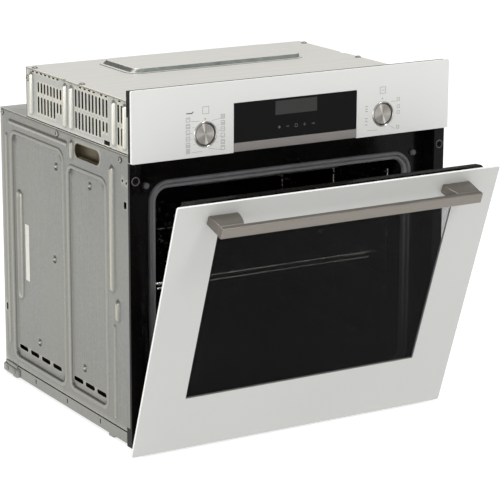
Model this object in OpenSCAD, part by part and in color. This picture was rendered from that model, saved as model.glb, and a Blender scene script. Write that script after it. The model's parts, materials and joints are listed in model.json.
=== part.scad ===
/* [Front] */
// Width of the fascia and of the door glass
front_w = 594; // [592:1:596]
// Height from the resting pad to the top of the fascia
front_h = 595; // [594:1:598]
// Height of the fascia
fascia_h = 114.5; // [113:0.5:116]
// Gap between the fascia and the closed door
door_gap = 7; // [5:0.5:8]
// How far open the door stands at rest, in degrees
door_rest_deg = 19.3; // [0:0.1:60]

/* [Body] */
// Width of the steel body behind the front
body_w = 543; // [541:1:548]
// Depth from the front glass to the rear panel
body_d = 534; // [530:1:545]
// Depth from the front glass to the rear of the control housing
housing_d = 425; // [420:1:435]
// Height of the deck that separates the cavity from the controls
deck_z = 481; // [480:1:482]
// Height of the top cover
top_z = 568; // [566:1:572]
// Thickness of the outer sheet metal
sheet = 1; // [0.8:0.1:1.2]

/* [Cavity] */
// Width of the cavity
cavity_w = 472; // [466:1:474]
// Height of the cavity floor
cavity_z0 = 74; // [74:1:76]
// Height of the cavity ceiling
cavity_z1 = 430; // [428:1:432]
// Position of the cavity's rear wall behind the front glass
cavity_y1 = 466; // [460:1:470]

/* [Knobs] */
// Sideways distance of each knob from the middle
knob_x = 166.5; // [160:0.5:172]
// Height of the knobs
knob_z = 515.5; // [512:0.5:520]
// Radius of a knob
knob_r = 17.9; // [16:0.1:18]

/* [Hidden] */
$fn = 48;

half_w = body_w / 2;
front_half = front_w / 2;
glass_t = 4;

// The resting pad is centred under the lower box, and the origin lies on it.
base_front_y = 44;
datum_y = (base_front_y + body_d) / 2;
base_z = 4.4;
base_top_z = 23;
flange_w = 10;
pad_w = 360;
pad_d = 300;

// Door, in its closed position.
fascia_z0 = front_h - fascia_h;
door_z0 = 10;
door_z1 = fascia_z0 - door_gap;
door_inner_z0 = 18;
door_inner_z1 = door_z1 - 4;
pane_z1 = door_inner_z1 - 21;
door_rear_y = 31.4;
door_inner_half = 272.5;
pane_half = 247.5;
hinge_y = 20.8;
hinge_z = 29.3;
hinge_x = 256;
pin_r = 3;
handle_z = 446;
handle_screw_x = 215;

// Front frame: an outer flange, and a recess that takes the door.
flange_y = 8.5;
frame_half = 296;
recess_half = 277.5;
recess_y = 38;
frame_z0 = 19;
frame_z1 = 479.6;
mouth_r = 26;
fixing_x = 286;
fixing_z = 452;

seal_y = 32;
cavity_half = cavity_w / 2;
enamel = 1.2;
fan_z = (cavity_z0 + cavity_z1) / 2 - 8;
fan_y = 440;
shelf_z = 258;
rack_x = 224;
lamp_x = 200;
lamp_z = 385;
probe_x = -190;
probe_z = 402;
wire_r = 2.2;
weld_gap = 0.04;

blower_y = 305;
display_half = 115;
display_z0 = 496;
display_z1 = 559.3;
knob_travel = 15;
running_gap = 0.05;
// Raised cover on the top sheet.
duct_x0 = -152;
duct_x1 = 182;
duct_y0 = 268;
duct_y1 = 390;
duct_h = 7.5;

module at_datum()
    translate([0, -datum_y, 0]) children();

// Parts of the door are drawn closed, then turned about the hinge pins.
module on_door()
    at_datum()
        translate([0, hinge_y, hinge_z])
            rotate([door_rest_deg, 0, 0])
                translate([0, -hinge_y, -hinge_z]) children();

// Box between two opposite corners, given in any order.
module block(p, q)
    translate([min(p.x, q.x), min(p.y, q.y), min(p.z, q.z)])
        cube([abs(q.x - p.x), abs(q.y - p.y), abs(q.z - p.z)]);

module rounded_rect(w, h, r) {
    square([w - 2 * r, h], center = true);
    square([w, h - 2 * r], center = true);
    for (x = [-1, 1], y = [-1, 1])
        translate([x * (w / 2 - r), y * (h / 2 - r)]) circle(r);
}

// Rounded plates: the corners lie in the plane, and the plate runs along the named axis.
module plate_y(x0, x1, z0, z1, r, y0, y1)
    translate([(x0 + x1) / 2, y1, (z0 + z1) / 2])
        rotate([90, 0, 0])
            linear_extrude(y1 - y0) rounded_rect(x1 - x0, z1 - z0, r);

module plate_x(y0, y1, z0, z1, r, x0, x1)
    translate([x0, (y0 + y1) / 2, (z0 + z1) / 2])
        rotate([90, 0, 90])
            linear_extrude(x1 - x0) rounded_rect(y1 - y0, z1 - z0, r);

module plate_z(x0, x1, y0, y1, r, z0, z1)
    translate([(x0 + x1) / 2, (y0 + y1) / 2, z0])
        linear_extrude(z1 - z0) rounded_rect(x1 - x0, y1 - y0, r);

// Rod along one axis.
module rod_x(x0, x1, y, z, r)
    translate([min(x0, x1), y, z]) rotate([0, 90, 0]) cylinder(h = abs(x1 - x0), r = r);

module rod_y(x, y0, y1, z, r)
    translate([x, y1, z]) rotate([90, 0, 0]) cylinder(h = y1 - y0, r = r);

module rod_z(x, y, z0, z1, r)
    translate([x, y, z0]) cylinder(h = z1 - z0, r = r);

module mirrored() {
    children();
    mirror([1, 0, 0]) children();
}

// A field pressed into the left-hand sheet: it stands inward by depth.
module pressed_in(y0, y1, z0, z1, r, depth)
    plate_x(y0, y1, z0, z1, r, -half_w, -half_w + depth + sheet);

module pressed_in_void(y0, y1, z0, z1, r, depth)
    plate_x(y0 + sheet, y1 - sheet, z0 + sheet, z1 - sheet, r - sheet,
        -half_w - 5, -half_w + depth);

// A bead pressed out of the left-hand sheet by rise.
module pressed_out(y0, y1, z0, z1, r, rise)
    plate_x(y0, y1, z0, z1, r, -half_w - rise, -half_w + sheet);

module pressed_out_void(y0, y1, z0, z1, r, rise)
    plate_x(y0 + sheet, y1 - sheet, z0 + sheet, z1 - sheet, r - sheet,
        -half_w - rise + sheet, -half_w + sheet + 1);

/* ---------- casing ---------- */

module base_tray() color("silver") at_datum() difference() {
    union() {
        block([-half_w, base_front_y, base_z], [half_w, body_d, base_z + sheet]);
        mirrored()
            block([-half_w, base_front_y, base_z], [-half_w + sheet, body_d, base_top_z]);
        for (y = [base_front_y, body_d - sheet])
            block([-half_w, y, base_z], [half_w, y + sheet, base_top_z]);
        plate_z(-pad_w / 2, pad_w / 2, datum_y - pad_d / 2, datum_y + pad_d / 2, 12, 0, base_z + sheet);
        mirrored() for (y = [119, 488])
            plate_z(-half_w, -half_w + 24, y, y + 20, 4, 0, base_z + sheet);
    }
    plate_z(-pad_w / 2 + sheet, pad_w / 2 - sheet, datum_y - pad_d / 2 + sheet,
        datum_y + pad_d / 2 - sheet, 11, sheet, base_z + sheet + 1);
    mirrored() for (y = [119, 488])
        plate_z(-half_w + sheet, -half_w + 24 - sheet, y + sheet, y + 20 - sheet, 3, sheet, base_z + sheet + 1);
    mirrored() for (y = [166, 288, 410])
        block([-half_w - 1, y - 1.5, 11], [-half_w + 2, y + 1.5, 19]);
    // Room for the hinge receivers in the front wall.
    mirrored() block([hinge_x - 6.5, base_front_y - 1, 18], [hinge_x + 6.5, base_front_y + 2, base_top_z + 1]);
}

module side_panel_shape() difference() {
    union() {
        block([-half_w, 40, 24], [-half_w + sheet, body_d - 1.2, deck_z - 1.2]);
        block([-half_w, 40, 24], [-half_w + flange_w, 40 + sheet, deck_z - 1.2]);
        block([-half_w, body_d - 2.2, 24], [-half_w + flange_w, body_d - 1.2, deck_z - 1.2]);
        block([-half_w, 40, 24], [-half_w + flange_w, body_d - 1.2, 24 + sheet]);
        // Two stiffening fields.
        pressed_in(292, 490, 43, 443, 14, 3);
        pressed_in(139, 271, 47, 424, 12, 3);
        // Long upright bead at the front, in two lengths with an offset between them.
        pressed_out(110, 122, 246, 457, 5.9, 2.5);
        pressed_out(104, 116, 34, 196, 5.9, 2.5);
        pressed_out(93, 105, 196, 236, 5.9, 2.5);
        // Bead above the rear field and upright rear flange bead.
        pressed_out(272, 446, 457, 465, 3.9, 1.5);
        pressed_out(505, 515, 60, 440, 4.9, 1.5);
    }
    pressed_in_void(292, 490, 43, 443, 14, 3);
    pressed_in_void(139, 271, 47, 424, 12, 3);
    pressed_out_void(110, 122, 246, 457, 5.9, 2.5);
    pressed_out_void(104, 116, 34, 196, 5.9, 2.5);
    pressed_out_void(93, 105, 196, 236, 5.9, 2.5);
    pressed_out_void(272, 446, 457, 465, 3.9, 1.5);
    pressed_out_void(505, 515, 60, 440, 4.9, 1.5);
    // Hand slot.
    plate_x(158, 245, 446, 469, 11, -half_w - 5, -half_w + 5);
    // Air slots near the foot of each field.
    for (i = [0:3]) plate_x(312 + 44 * i, 345 + 44 * i, 59.5, 66.5, 3.4, -half_w - 5, -half_w + 8);
    for (i = [0:2]) plate_x(147 + 42 * i, 180 + 42 * i, 59.5, 66.5, 3.4, -half_w - 5, -half_w + 8);
    // Small fixing and vent holes.
    for (p = [[321, 415], [198, 406], [332, 253], [396, 90], [225, 90], [79, 438], [66, 436]])
        rod_x(-half_w - 5, -half_w + 8, p[0], p[1], 2.5);
    block([-half_w - 5, 66, 394], [-half_w + 3, 75, 405]);
    plate_x(518, 524, 118, 132, 2.9, -half_w - 5, -half_w + 3);
    // Screw holes.
    for (p = [[310, 472], [86, 470], [524, 473]])
        rod_x(-half_w - 5, -half_w + 3, p[0], p[1], 2);
    for (z = [60, 250, 440]) rod_y(-half_w + 7, body_d - 4, body_d, z, 2);
}

module side_panel_left() color("lightgray") at_datum() side_panel_shape();

module side_panel_right() color("lightgray") at_datum() mirror([1, 0, 0]) side_panel_shape();

// Shallow pan behind each hand slot.
module carry_pockets() color("darkkhaki") at_datum() mirrored() difference() {
    plate_x(152, 251, 444.5, 471, 12, -half_w + sheet, -half_w + 13);
    plate_x(154, 249, 445.5, 469.5, 11, -half_w, -half_w + 12);
}

module rear_panel() color("silver") at_datum() difference() {
    union() {
        block([-half_w + 0.2, body_d - sheet, 24], [half_w - 0.2, body_d, deck_z - 1.2]);
        // Raised round boss over the fan motor, and two upright beads.
        rod_y(0, body_d - sheet, body_d + 5, fan_z, 78);
        mirrored() plate_y(150, 164, 70, 430, 6.9, body_d - sheet, body_d + 3);
    }
    rod_y(0, body_d - sheet - 1, body_d + 5 - sheet, fan_z, 77);
    mirrored() plate_y(151, 163, 71, 429, 5.9, body_d - sheet - 1, body_d + 3 - sheet);
    // Vent slots in the boss and a row along the foot.
    for (i = [-3:3]) plate_y(-40, 40, fan_z + 14 * i - 2.5, fan_z + 14 * i + 2.5, 2.4, body_d - 3, body_d + 8);
    for (i = [-5:5]) plate_y(22 * i - 7, 22 * i + 7, 40, 45, 2.4, body_d - 3, body_d + 2);
    mirrored() for (z = [60, 250, 440]) rod_y(-half_w + 7, body_d - 3, body_d + 2, z, 2);
}

module deck_plate() color("lightgray") at_datum() difference() {
    block([-half_w + 0.2, 40.6, deck_z - sheet], [half_w - 0.2, body_d, deck_z]);
    // Cable openings and air holes.
    for (x = [-215, 205]) plate_z(x - 14, x + 14, 330, 350, 6, deck_z - 3, deck_z + 1);
    for (i = [-4:4]) plate_z(22 * i - 8, 22 * i + 8, 455, 461, 2.9, deck_z - 3, deck_z + 1);
    rod_z(200, 400, deck_z - 3, deck_z + 1, 8);
}

// Columns of upright air slots in the housing sides.
module side_slot(y, z0, z1)
    plate_x(y - 2.4, y + 2.4, z0, z1, 2.3, -half_w - 5, -half_w + 5);

module housing_side_shape() difference() {
    union() {
        block([-half_w, 22, deck_z + 1.3], [-half_w + sheet, housing_d - 1.2, top_z - 1.2]);
        block([-half_w, 22, top_z - 2.2], [-half_w + flange_w, housing_d - 1.2, top_z - 1.2]);
        block([-half_w, 22, deck_z + 1.3], [-half_w + flange_w, housing_d - 1.2, deck_z + 2.3]);
        block([-half_w, housing_d - 2.2, deck_z + 1.3], [-half_w + flange_w, housing_d - 1.2, top_z - 1.2]);
        for (y = [398, 271, 248, 99, 62]) pressed_out(y, y + 13, 488, 563, 4, 2);
    }
    for (y = [398, 271, 248, 99, 62]) pressed_out_void(y, y + 13, 488, 563, 4, 2);
    for (i = [0:7]) {
        side_slot(294 + 11.93 * i, 530.5, 548.5);
        side_slot(294 + 11.93 * i, i > 1 ? 495.5 : 506.5, 524.2);
    }
    for (i = [0:9]) {
        side_slot(130 + 12.05 * i, 529, 558.5);
        side_slot(130 + 12.05 * i, i > 1 ? 493.6 : 505, 522.3);
    }
    for (y = [79, 90.5]) {
        side_slot(y, 528.5, 557.5);
        side_slot(y, 492.5, 521.5);
    }
    block([-half_w - 5, 120, 484.2], [-half_w + 3, 140, 492.5]);
    // Short slits along the top bend.
    for (i = [0:7]) block([-half_w - 5, 300 + 15.5 * i, 564], [-half_w + 3, 308 + 15.5 * i, 565.6]);
    for (y = [170, 186, 202, 218, 128, 144, 82]) block([-half_w - 5, y, 564], [-half_w + 3, y + 8, 565.6]);
    rod_x(-half_w - 5, -half_w + 3, 418, 549, 2);
    rod_x(-half_w - 5, -half_w + 3, 40, 500, 2);
    for (y = [60, 225, 400]) rod_z(-half_w + 5, y, top_z - 4, top_z, 2);
}

module housing_side_left() color("gainsboro") at_datum() housing_side_shape();

module housing_side_right() color("gainsboro") at_datum() mirror([1, 0, 0]) housing_side_shape();

module housing_rear() color("silver") at_datum() difference() {
    block([-half_w + 0.2, housing_d - sheet, deck_z + 0.3], [half_w - 0.2, housing_d, top_z - 1.2]);
    for (i = [0:11]) plate_y(-210 + 20 * i - 7, -210 + 20 * i + 7, 545, 549, 1.9, housing_d - 3, housing_d + 2);
    for (i = [0:11]) plate_y(-210 + 20 * i - 7, -210 + 20 * i + 7, 533, 537, 1.9, housing_d - 3, housing_d + 2);
    plate_y(140, 190, 492, 516, 4, housing_d - 3, housing_d + 2);
    mirrored() for (z = [500, 550]) rod_y(-half_w + 6, housing_d - 3, housing_d + 2, z, 2);
}

module top_cover() color("whitesmoke") at_datum() difference() {
    union() {
        plate_z(-half_w, half_w, 22, housing_d, 3, top_z - sheet, top_z);
        block([-half_w + 14, 22, top_z - 3.5], [half_w - 14, 22 + sheet, top_z - sheet]);
    }
    // Opening under the raised duct cover, and the fixing holes.
    plate_z(duct_x0 + 22, duct_x1 - 22, duct_y0 + 18, duct_y1 - 16, 10, top_z - 3, top_z + 1);
    mirrored() for (y = [60, 225, 400]) rod_z(-half_w + 5, y, top_z - 3, top_z + 1, 2);
    mirrored() plate_z(half_w - 4, half_w + 4, 274, 290, 3, top_z - 3, top_z + 1);
}

module duct_cover() color("whitesmoke") at_datum() difference() {
    union() {
        plate_z(duct_x0, duct_x1, duct_y0, duct_y1, 16, top_z, top_z + duct_h);
        plate_z(duct_x0 - 5, duct_x1 + 5, duct_y0 - 5, duct_y1 + 5, 18, top_z, top_z + sheet);
    }
    plate_z(duct_x0 + sheet, duct_x1 - sheet, duct_y0 + sheet, duct_y1 - sheet, 15,
        top_z - 1, top_z + duct_h - sheet);
}

module terminal_box() color("dimgray") at_datum() difference() {
    union() {
        plate_z(118, 212, housing_d + 0.3, housing_d + 42, 4, deck_z + 0.3, deck_z + 46);
        // Cable gland: a plain bore for the mains cable.
        rod_y(165, housing_d + 40, housing_d + 54, deck_z + 22, 13);
    }
    block([121, housing_d - 1, deck_z + 3], [209, housing_d + 39, deck_z + 43]);
    rod_y(165, housing_d + 38, housing_d + 55, deck_z + 22, 6.5);
}

// Pan-head screws that hold the casing together, all alike.
module screw() {
    cylinder(h = 1.6, r = 4);
    translate([0, 0, -3]) cylinder(h = 3, r = 1.9);
}

module chassis_screws() color("goldenrod") at_datum() {
    mirrored() for (p = [[310, 472], [86, 470], [524, 473], [418, 549], [40, 500]])
        translate([-half_w, p[0], p[1]]) rotate([0, -90, 0]) screw();
    mirrored() for (z = [60, 250, 440])
        translate([-half_w + 7, body_d, z]) rotate([-90, 0, 0]) screw();
    mirrored() for (y = [60, 225, 400])
        translate([-half_w + 5, y, top_z]) screw();
}

/* ---------- front frame and cavity ---------- */

module frame_plan()
    difference() {
        translate([0, (frame_z0 + frame_z1) / 2]) square([2 * recess_half, frame_z1 - frame_z0], center = true);
        translate([0, (cavity_z0 + cavity_z1) / 2]) rounded_rect(cavity_w, cavity_z1 - cavity_z0, mouth_r);
    }

module front_frame() color("#1c1b1a") at_datum() difference() {
    union() {
        translate([0, recess_y + sheet, 0]) rotate([90, 0, 0]) linear_extrude(sheet) frame_plan();
        mirrored() {
            block([recess_half - sheet, flange_y, frame_z0], [recess_half, recess_y + sheet, frame_z1]);
            block([recess_half - sheet, flange_y, frame_z0], [frame_half, flange_y + sheet, frame_z1]);
            block([frame_half - sheet, flange_y, frame_z0], [frame_half, 14, frame_z1]);
            block([frame_half - sheet, flange_y, frame_z0], [frame_half, 25, 50]);
        }
        block([-recess_half, flange_y + 4, frame_z1 - sheet], [recess_half, recess_y + sheet, frame_z1]);
    }
    // Slots for the hinge levers, holes for the fixing grommets, and the air outlet.
    mirrored() block([hinge_x - 4, recess_y - 1, frame_z0 - 1], [hinge_x + 4, recess_y + 3, 40]);
    mirrored() rod_y(fixing_x, flange_y - 1, flange_y + 3, fixing_z, 5);
    for (i = [-8:8]) plate_z(28 * i - 10, 28 * i + 10, 20, 32, 4, frame_z1 - 3, frame_z1 + 1);
    mirrored() rod_y(-253, recess_y - 1, recess_y + 3, 436, 2);
}

module fixing_grommets() color("#2b2a29") at_datum() mirrored() difference() {
    union() {
        rod_y(fixing_x, flange_y - 1.5, flange_y, fixing_z, 7);
        rod_y(fixing_x, flange_y, flange_y + 3, fixing_z, 4.9);
    }
    rod_y(fixing_x, flange_y - 3, flange_y + 5, fixing_z, 2.8);
}

module door_buffers() color("gray") at_datum() mirrored() {
    rod_y(-253, seal_y, recess_y, 436, 5.5);
    rod_y(-253, recess_y, recess_y + 3, 436, 1.9);
}

module cavity() color("#141414") at_datum() difference() {
    union() {
        // Flange behind the front frame, and the muffle itself.
        plate_y(-cavity_half - 24, cavity_half + 24, cavity_z0 - 22, cavity_z1 + 22, 10,
            recess_y + sheet, recess_y + sheet + enamel);
        plate_y(-cavity_half - enamel, cavity_half + enamel, cavity_z0 - enamel, cavity_z1 + enamel,
            mouth_r + enamel, recess_y + sheet, cavity_y1 + enamel);
    }
    plate_y(-cavity_half, cavity_half, cavity_z0, cavity_z1, mouth_r, recess_y - 1, cavity_y1);
    // Buffer pins, fan shaft, heater ends, lamp and probe pass through the shell.
    mirrored() rod_y(-253, recess_y, recess_y + 5, 436, 2.4);
    rod_y(0, cavity_y1 - 1, cavity_y1 + 3, fan_z, 7);
    for (x = [-60, 60]) rod_y(x, cavity_y1 - 1, cavity_y1 + 3, cavity_z1 - 15, 4.5);
    for (x = [-12, 12]) rod_y(x, cavity_y1 - 1, cavity_y1 + 3, fan_z - 91, 4.5);
    rod_y(lamp_x, cavity_y1 - 1, cavity_y1 + 3, lamp_z, 20);
    rod_y(probe_x, cavity_y1 - 1, cavity_y1 + 3, probe_z, 3.2);
    mirrored() for (z = [110, 392]) rod_x(-cavity_half - 3, -cavity_half + 1, 130, z, 2.5);
}

module seal_ring(inset, y0, y1) difference() {
    plate_y(-249 + inset, 249 - inset, 62 + inset, 442 - inset, 36 - inset, y0, y1);
    plate_y(-237.5 - inset, 237.5 + inset, 73.5 - inset, 430.5 + inset, 25 + inset, y0 - 1, y1 + 1);
}

module cavity_seal() color("gray") at_datum() {
    seal_ring(0, seal_y + 2, recess_y);
    seal_ring(1.6, seal_y, seal_y + 2);
}

module insulation() color("wheat") at_datum() difference() {
    plate_y(-258, 258, 36, 466, 30, 64, 484);
    plate_y(-cavity_half - 3, cavity_half + 3, 56, cavity_z1 + 4, 28, 60, cavity_y1 + 4);
    // Clearances: hinge receivers, carry pockets, fan motor, heater ends, lamp, probe.
    mirrored() block([243, 60, 30], [262, 140, 66]);
    mirrored() block([254, 145, 440], [262, 256, 476]);
    rod_y(0, 460, 490, fan_z, 54);
    for (x = [-60, 60]) rod_y(x, 460, 490, cavity_z1 - 15, 9);
    for (x = [-12, 12]) rod_y(x, 460, 490, fan_z - 91, 9);
    rod_y(lamp_x, 460, 490, lamp_z, 28);
    rod_y(probe_x, 460, 490, probe_z, 8);
    block([-70, 460, 50], [-30, 490, 72]);
    rod_z(205, 340, 430, 480, 10);
}

module fan_cover() color("#1e1e1e") at_datum() difference() {
    union() {
        plate_y(-160, 160, 100, 384, 18, 424, 425.2);
        difference() {
            plate_y(-160, 160, 100, 384, 18, 424, cavity_y1 - 0.5);
            plate_y(-158.8, 158.8, 101.2, 382.8, 16.8, 423, cavity_y1 + 1);
        }
    }
    // Suction grille in the middle and outlet slots down both sides.
    for (a = [0:30:330], r = [18, 34, 50])
        translate([r * cos(a + r), 424, fan_z + r * sin(a + r)]) rotate([90, 0, 0])
            cylinder(h = 6, r = 4.2, center = true);
    mirrored() for (i = [0:7])
        plate_y(116, 148, 124 + 32 * i, 130 + 32 * i, 2.9, 422, 428);
}

/* ---------- fan, heaters, lamp ---------- */

module convection_fan() color("silver") at_datum() {
    rod_y(0, fan_y, fan_y + 1.5, fan_z, 72);
    rod_y(0, fan_y - 8, fan_y + 10, fan_z, 8);
    rod_y(0, fan_y, 512, fan_z, 4);
    for (a = [0:36:324])
        translate([0, 0, fan_z]) rotate([0, a, 0])
            block([26, fan_y - 7, 4], [71, fan_y + 0.5, 5.4]);
}

module fan_motor() color("dimgray") at_datum() difference() {
    union() {
        block([-36, 488, fan_z - 30], [36, 518, fan_z + 30]);
        rod_y(0, 478, 524, fan_z, 24);
        // Bracket feet that stand on the cavity's rear wall.
        for (x = [-42, 42]) block([x - 7, cavity_y1 + enamel, fan_z - 6], [x + 7, cavity_y1 + enamel + 2, fan_z + 6]);
        for (x = [-42, 42]) block([x - 1.5, cavity_y1 + enamel, fan_z - 6], [x + 1.5, 500, fan_z + 6]);
        for (x = [-1, 1]) block([x * 30, 498, fan_z - 6], [x * 43, 500, fan_z + 6]);
    }
    rod_y(0, 470, 514, fan_z, 4 + running_gap);
}

module ring_heater() color("#4a4643") at_datum() {
    for (y = [433, 448])
        translate([0, y, fan_z]) rotate([90, 0, 0])
            rotate_extrude() translate([92, 0]) circle(3.2);
    rod_y(-92, 433, 448, fan_z, 3.2);
    for (x = [-12, 12]) rod_y(x, 445, 492, fan_z - 91, 3.2);
}

// Half turn of heater tube in the horizontal plane, open towards -Y or +Y.
module tube_bend(x, y, z, r, tube, back)
    translate([x, y, z])
        rotate([0, 0, back ? 0 : 180])
            rotate_extrude(angle = 180) translate([r, 0]) circle(tube);

module grill_element() color("#3f3b38") at_datum() {
    z = cavity_z1 - 15;
    mirrored() {
        rod_y(60, 130, 492, z, 3.2);
        rod_y(100, 130, 400, z, 3.2);
        rod_y(140, 92, 400, z, 3.2);
        tube_bend(80, 130, z, 20, 3.2, false);
        tube_bend(120, 400, z, 20, 3.2, true);
    }
    rod_x(-140, 140, 92, z, 3.2);
}

module bottom_heater() color("#4a4643") at_datum() {
    z = 65;
    for (x = [-150, -90, 90, 150]) rod_y(x, 120, 400, z, 3.2);
    for (x = [-120, 120]) tube_bend(x, 400, z, 30, 3.2, true);
    rod_x(-150, 150, 120, z, 3.2);
    rod_y(-50, 120, 492, z, 3.2);
}

module lamp_housing() color("gainsboro") at_datum() difference() {
    union() {
        rod_y(lamp_x, cavity_y1 + enamel, cavity_y1 + enamel + 2, lamp_z, 26);
        rod_y(lamp_x, cavity_y1 + enamel, 508, lamp_z, 19);
    }
    rod_y(lamp_x, cavity_y1, 500, lamp_z, 17);
}

module lamp_lens() color("lightyellow") at_datum() difference() {
    union() {
        rod_y(lamp_x, cavity_y1 - 4, cavity_y1, lamp_z, 24);
        rod_y(lamp_x, cavity_y1 - 16, cavity_y1 - 4, lamp_z, 18);
    }
    rod_y(lamp_x, cavity_y1 - 13, cavity_y1 + 1, lamp_z, 15.5);
}

module lamp_bulb() color("white") at_datum() {
    translate([lamp_x, 474, lamp_z]) sphere(9);
    rod_y(lamp_x, 476, 500, lamp_z, 6);
}

module temperature_probe() color("silver") at_datum() {
    rod_y(probe_x, 380, 490, probe_z, 2.6);
    rod_y(probe_x, cavity_y1 + enamel, cavity_y1 + enamel + 3, probe_z, 6);
}

/* ---------- racks and shelf ---------- */

// Wires are drawn as separate rods that all but touch where they are welded.
module side_rack_shape() {
    post_x = -rack_x - 5;
    rail_x = -rack_x + 4;
    for (y = [74, 240, 410]) rod_z(post_x, y, 96, 404, wire_r);
    for (z = [100, 400]) rod_y(post_x + 2 * wire_r + weld_gap, 72, 412, z, wire_r);
    for (i = [0:4], dz = [0, 17]) {
        z = shelf_z - 5.5 + 57.5 * (i - 2) + dz;
        rod_y(rail_x, 74, 410, z, wire_r);
        for (y = [74, 410]) rod_x(post_x + wire_r + weld_gap, rail_x, y, z, wire_r);
    }
}

module side_rack_left() color("silver") at_datum() side_rack_shape();

module side_rack_right() color("silver") at_datum() mirror([1, 0, 0]) side_rack_shape();

module wire_shelf() color("silver") at_datum() {
    z = shelf_z;
    for (x = [-218, 218]) rod_y(x, 89, 415, z, 3);
    for (y = [92, 412]) rod_x(-215 + weld_gap, 215 - weld_gap, y, z, 3);
    rod_x(-205, 205, 92, z - 3 - wire_r - weld_gap - 3, wire_r);
    for (x = [-150, 0, 150]) rod_z(x, 92, z - 6 + weld_gap / 2, z - 3 - weld_gap / 2, 1.5);
    for (i = [-9:9]) rod_y(21 * i, 89, 415, z + 3 + 1.6 + weld_gap, 1.6);
}

/* ---------- cooling air and electrics ---------- */

module blower_housing() color("gray") at_datum() difference() {
    union() {
        rod_z(0, blower_y, deck_z + 0.3, deck_z + 50, 78);
        block([-70, 222, deck_z + 0.3], [0, blower_y, deck_z + 50]);
        for (a = [45, 135, 225, 315])
            rod_z(84 * cos(a), blower_y + 84 * sin(a), deck_z + 0.3, deck_z + 3, 8);
    }
    rod_z(0, blower_y, deck_z + 2, deck_z + 48, 76.5);
    block([-68.5, 220, deck_z + 2], [-1.5, blower_y, deck_z + 48]);
    rod_z(0, blower_y, deck_z + 40, deck_z + 60, 42);
}

module blower_wheel() color("lightsteelblue") at_datum() {
    rod_z(0, blower_y, deck_z + 6, deck_z + 8, 62);
    rod_z(0, blower_y, deck_z + 8, deck_z + 20, 10);
    rod_z(0, blower_y, deck_z + 8, deck_z + 66, 3);
    difference() {
        rod_z(0, blower_y, deck_z + 40, deck_z + 42, 62);
        rod_z(0, blower_y, deck_z + 39, deck_z + 43, 48);
    }
    for (a = [0:15:345])
        translate([0, blower_y, 0]) rotate([0, 0, a])
            block([50, -0.6, deck_z + 7], [61, 0.6, deck_z + 41]);
}

module blower_motor() color("dimgray") at_datum() difference() {
    union() {
        rod_z(0, blower_y, deck_z + 50.3, deck_z + 76, 30);
        block([-62, blower_y - 8, deck_z + 50.3], [62, blower_y + 8, deck_z + 52.3]);
    }
    rod_z(0, blower_y, deck_z + 48, deck_z + 68, 3 + running_gap);
}

module air_duct() color("silver") at_datum() difference() {
    block([-150, 64, deck_z + 0.3], [150, 221.5, deck_z + 22]);
    block([-149, 63, deck_z + 1.3], [149, 221, deck_z + 21]);
    block([-68, 215, deck_z + 1.3], [-2, 225, deck_z + 21]);
}

module thermal_cutout() color("saddlebrown") at_datum() {
    plate_z(120, 160, 412, 418, 2.9, deck_z + 0.3, deck_z + 1.3);
    rod_z(140, 415, deck_z + 0.3, deck_z + 10, 5);
    for (x = [135, 145]) block([x - 0.4, 412.5, deck_z + 9], [x + 0.4, 417.5, deck_z + 16]);
}

module control_carrier() color("#191918") at_datum() difference() {
    union() {
        plate_y(-front_half + 1, front_half - 1, fascia_z0 + 1.5, front_h - 2, 2, glass_t, glass_t + 3);
        // End caps, deeper at the top than beside the door frame.
        mirrored() block([front_half - 4, glass_t, 552], [front_half - 1, 17.5, front_h - 2]);
        mirrored() block([front_half - 4, glass_t, fascia_z0 + 1.5], [front_half - 1, 12.5, 552]);
        block([-front_half + 1, glass_t, front_h - 5], [front_half - 1, 17.5, front_h - 2]);
        // Box that reaches back into the housing.
        block([-264, glass_t + 1, 486], [264, 60, 564]);
    }
    block([-262, glass_t + 3, 488], [262, 61, 562]);
    plate_y(-108, 108, 500, 556, 3, glass_t - 1, glass_t + 5);
    mirrored() rod_y(knob_x, glass_t - 1, glass_t + 5, knob_z, 19.8);
}

module fascia_panel() color("ivory") at_datum() difference() {
    plate_y(-front_half, front_half, fascia_z0, front_h, 2.5, 0, glass_t);
    block([-display_half - 0.3, -1, fascia_z0 - 1], [display_half + 0.3, glass_t + 1, display_z1 + 0.3]);
    mirrored() rod_y(knob_x, -1, glass_t + 1, knob_z, 19.6);
}

module display_glass() color("#101014") at_datum()
    plate_y(-display_half, display_half, display_z0 + 0.2, display_z1, 0.8, 0, glass_t);

module trim_strip() color("silver") at_datum()
    plate_y(-display_half, display_half, fascia_z0 + 1.2, display_z0 - 0.2, 0.8, -0.6, glass_t - 0.6);

module display_module() color("#26262c") at_datum() {
    plate_y(-48, 48, 528, 555, 2, glass_t + 0.2, 16);
    plate_y(-100, 100, 503, 553, 2, 16, 17.6);
    for (i = [-2:2]) rod_y(15.8 * i, glass_t + 0.2, 16, 513.5, 4);
}

module control_board() color("darkgreen") at_datum() difference() {
    union() {
        plate_y(-215, 215, 494, 546, 3, 56, 57.6);
        for (x = [-110, -60, 60, 110]) block([x - 9, 48, 505], [x + 9, 56, 520]);
        block([-30, 44, 530], [30, 56, 542]);
    }
    for (x = [-200, 200], z = [500, 540]) rod_y(x, 50, 60, z, 1.8);
    mirrored() rod_y(knob_x, 50, 60, knob_z, 4);
}

module power_board() color("darkgreen") at_datum() {
    plate_z(-252, -168, 100, 290, 3, deck_z + 9, deck_z + 10.6);
    for (x = [-244, -176], y = [108, 282]) rod_z(x, y, deck_z + 0.3, deck_z + 9, 3);
    for (i = [0:3]) block([-244, 124 + 34 * i, deck_z + 10.6], [-222, 148 + 34 * i, deck_z + 28]);
    block([-210, 120, deck_z + 10.6], [-176, 160, deck_z + 38]);
    for (i = [0:2]) rod_z(-192, 184 + 28 * i, deck_z + 10.6, deck_z + 34, 10);
}

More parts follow.
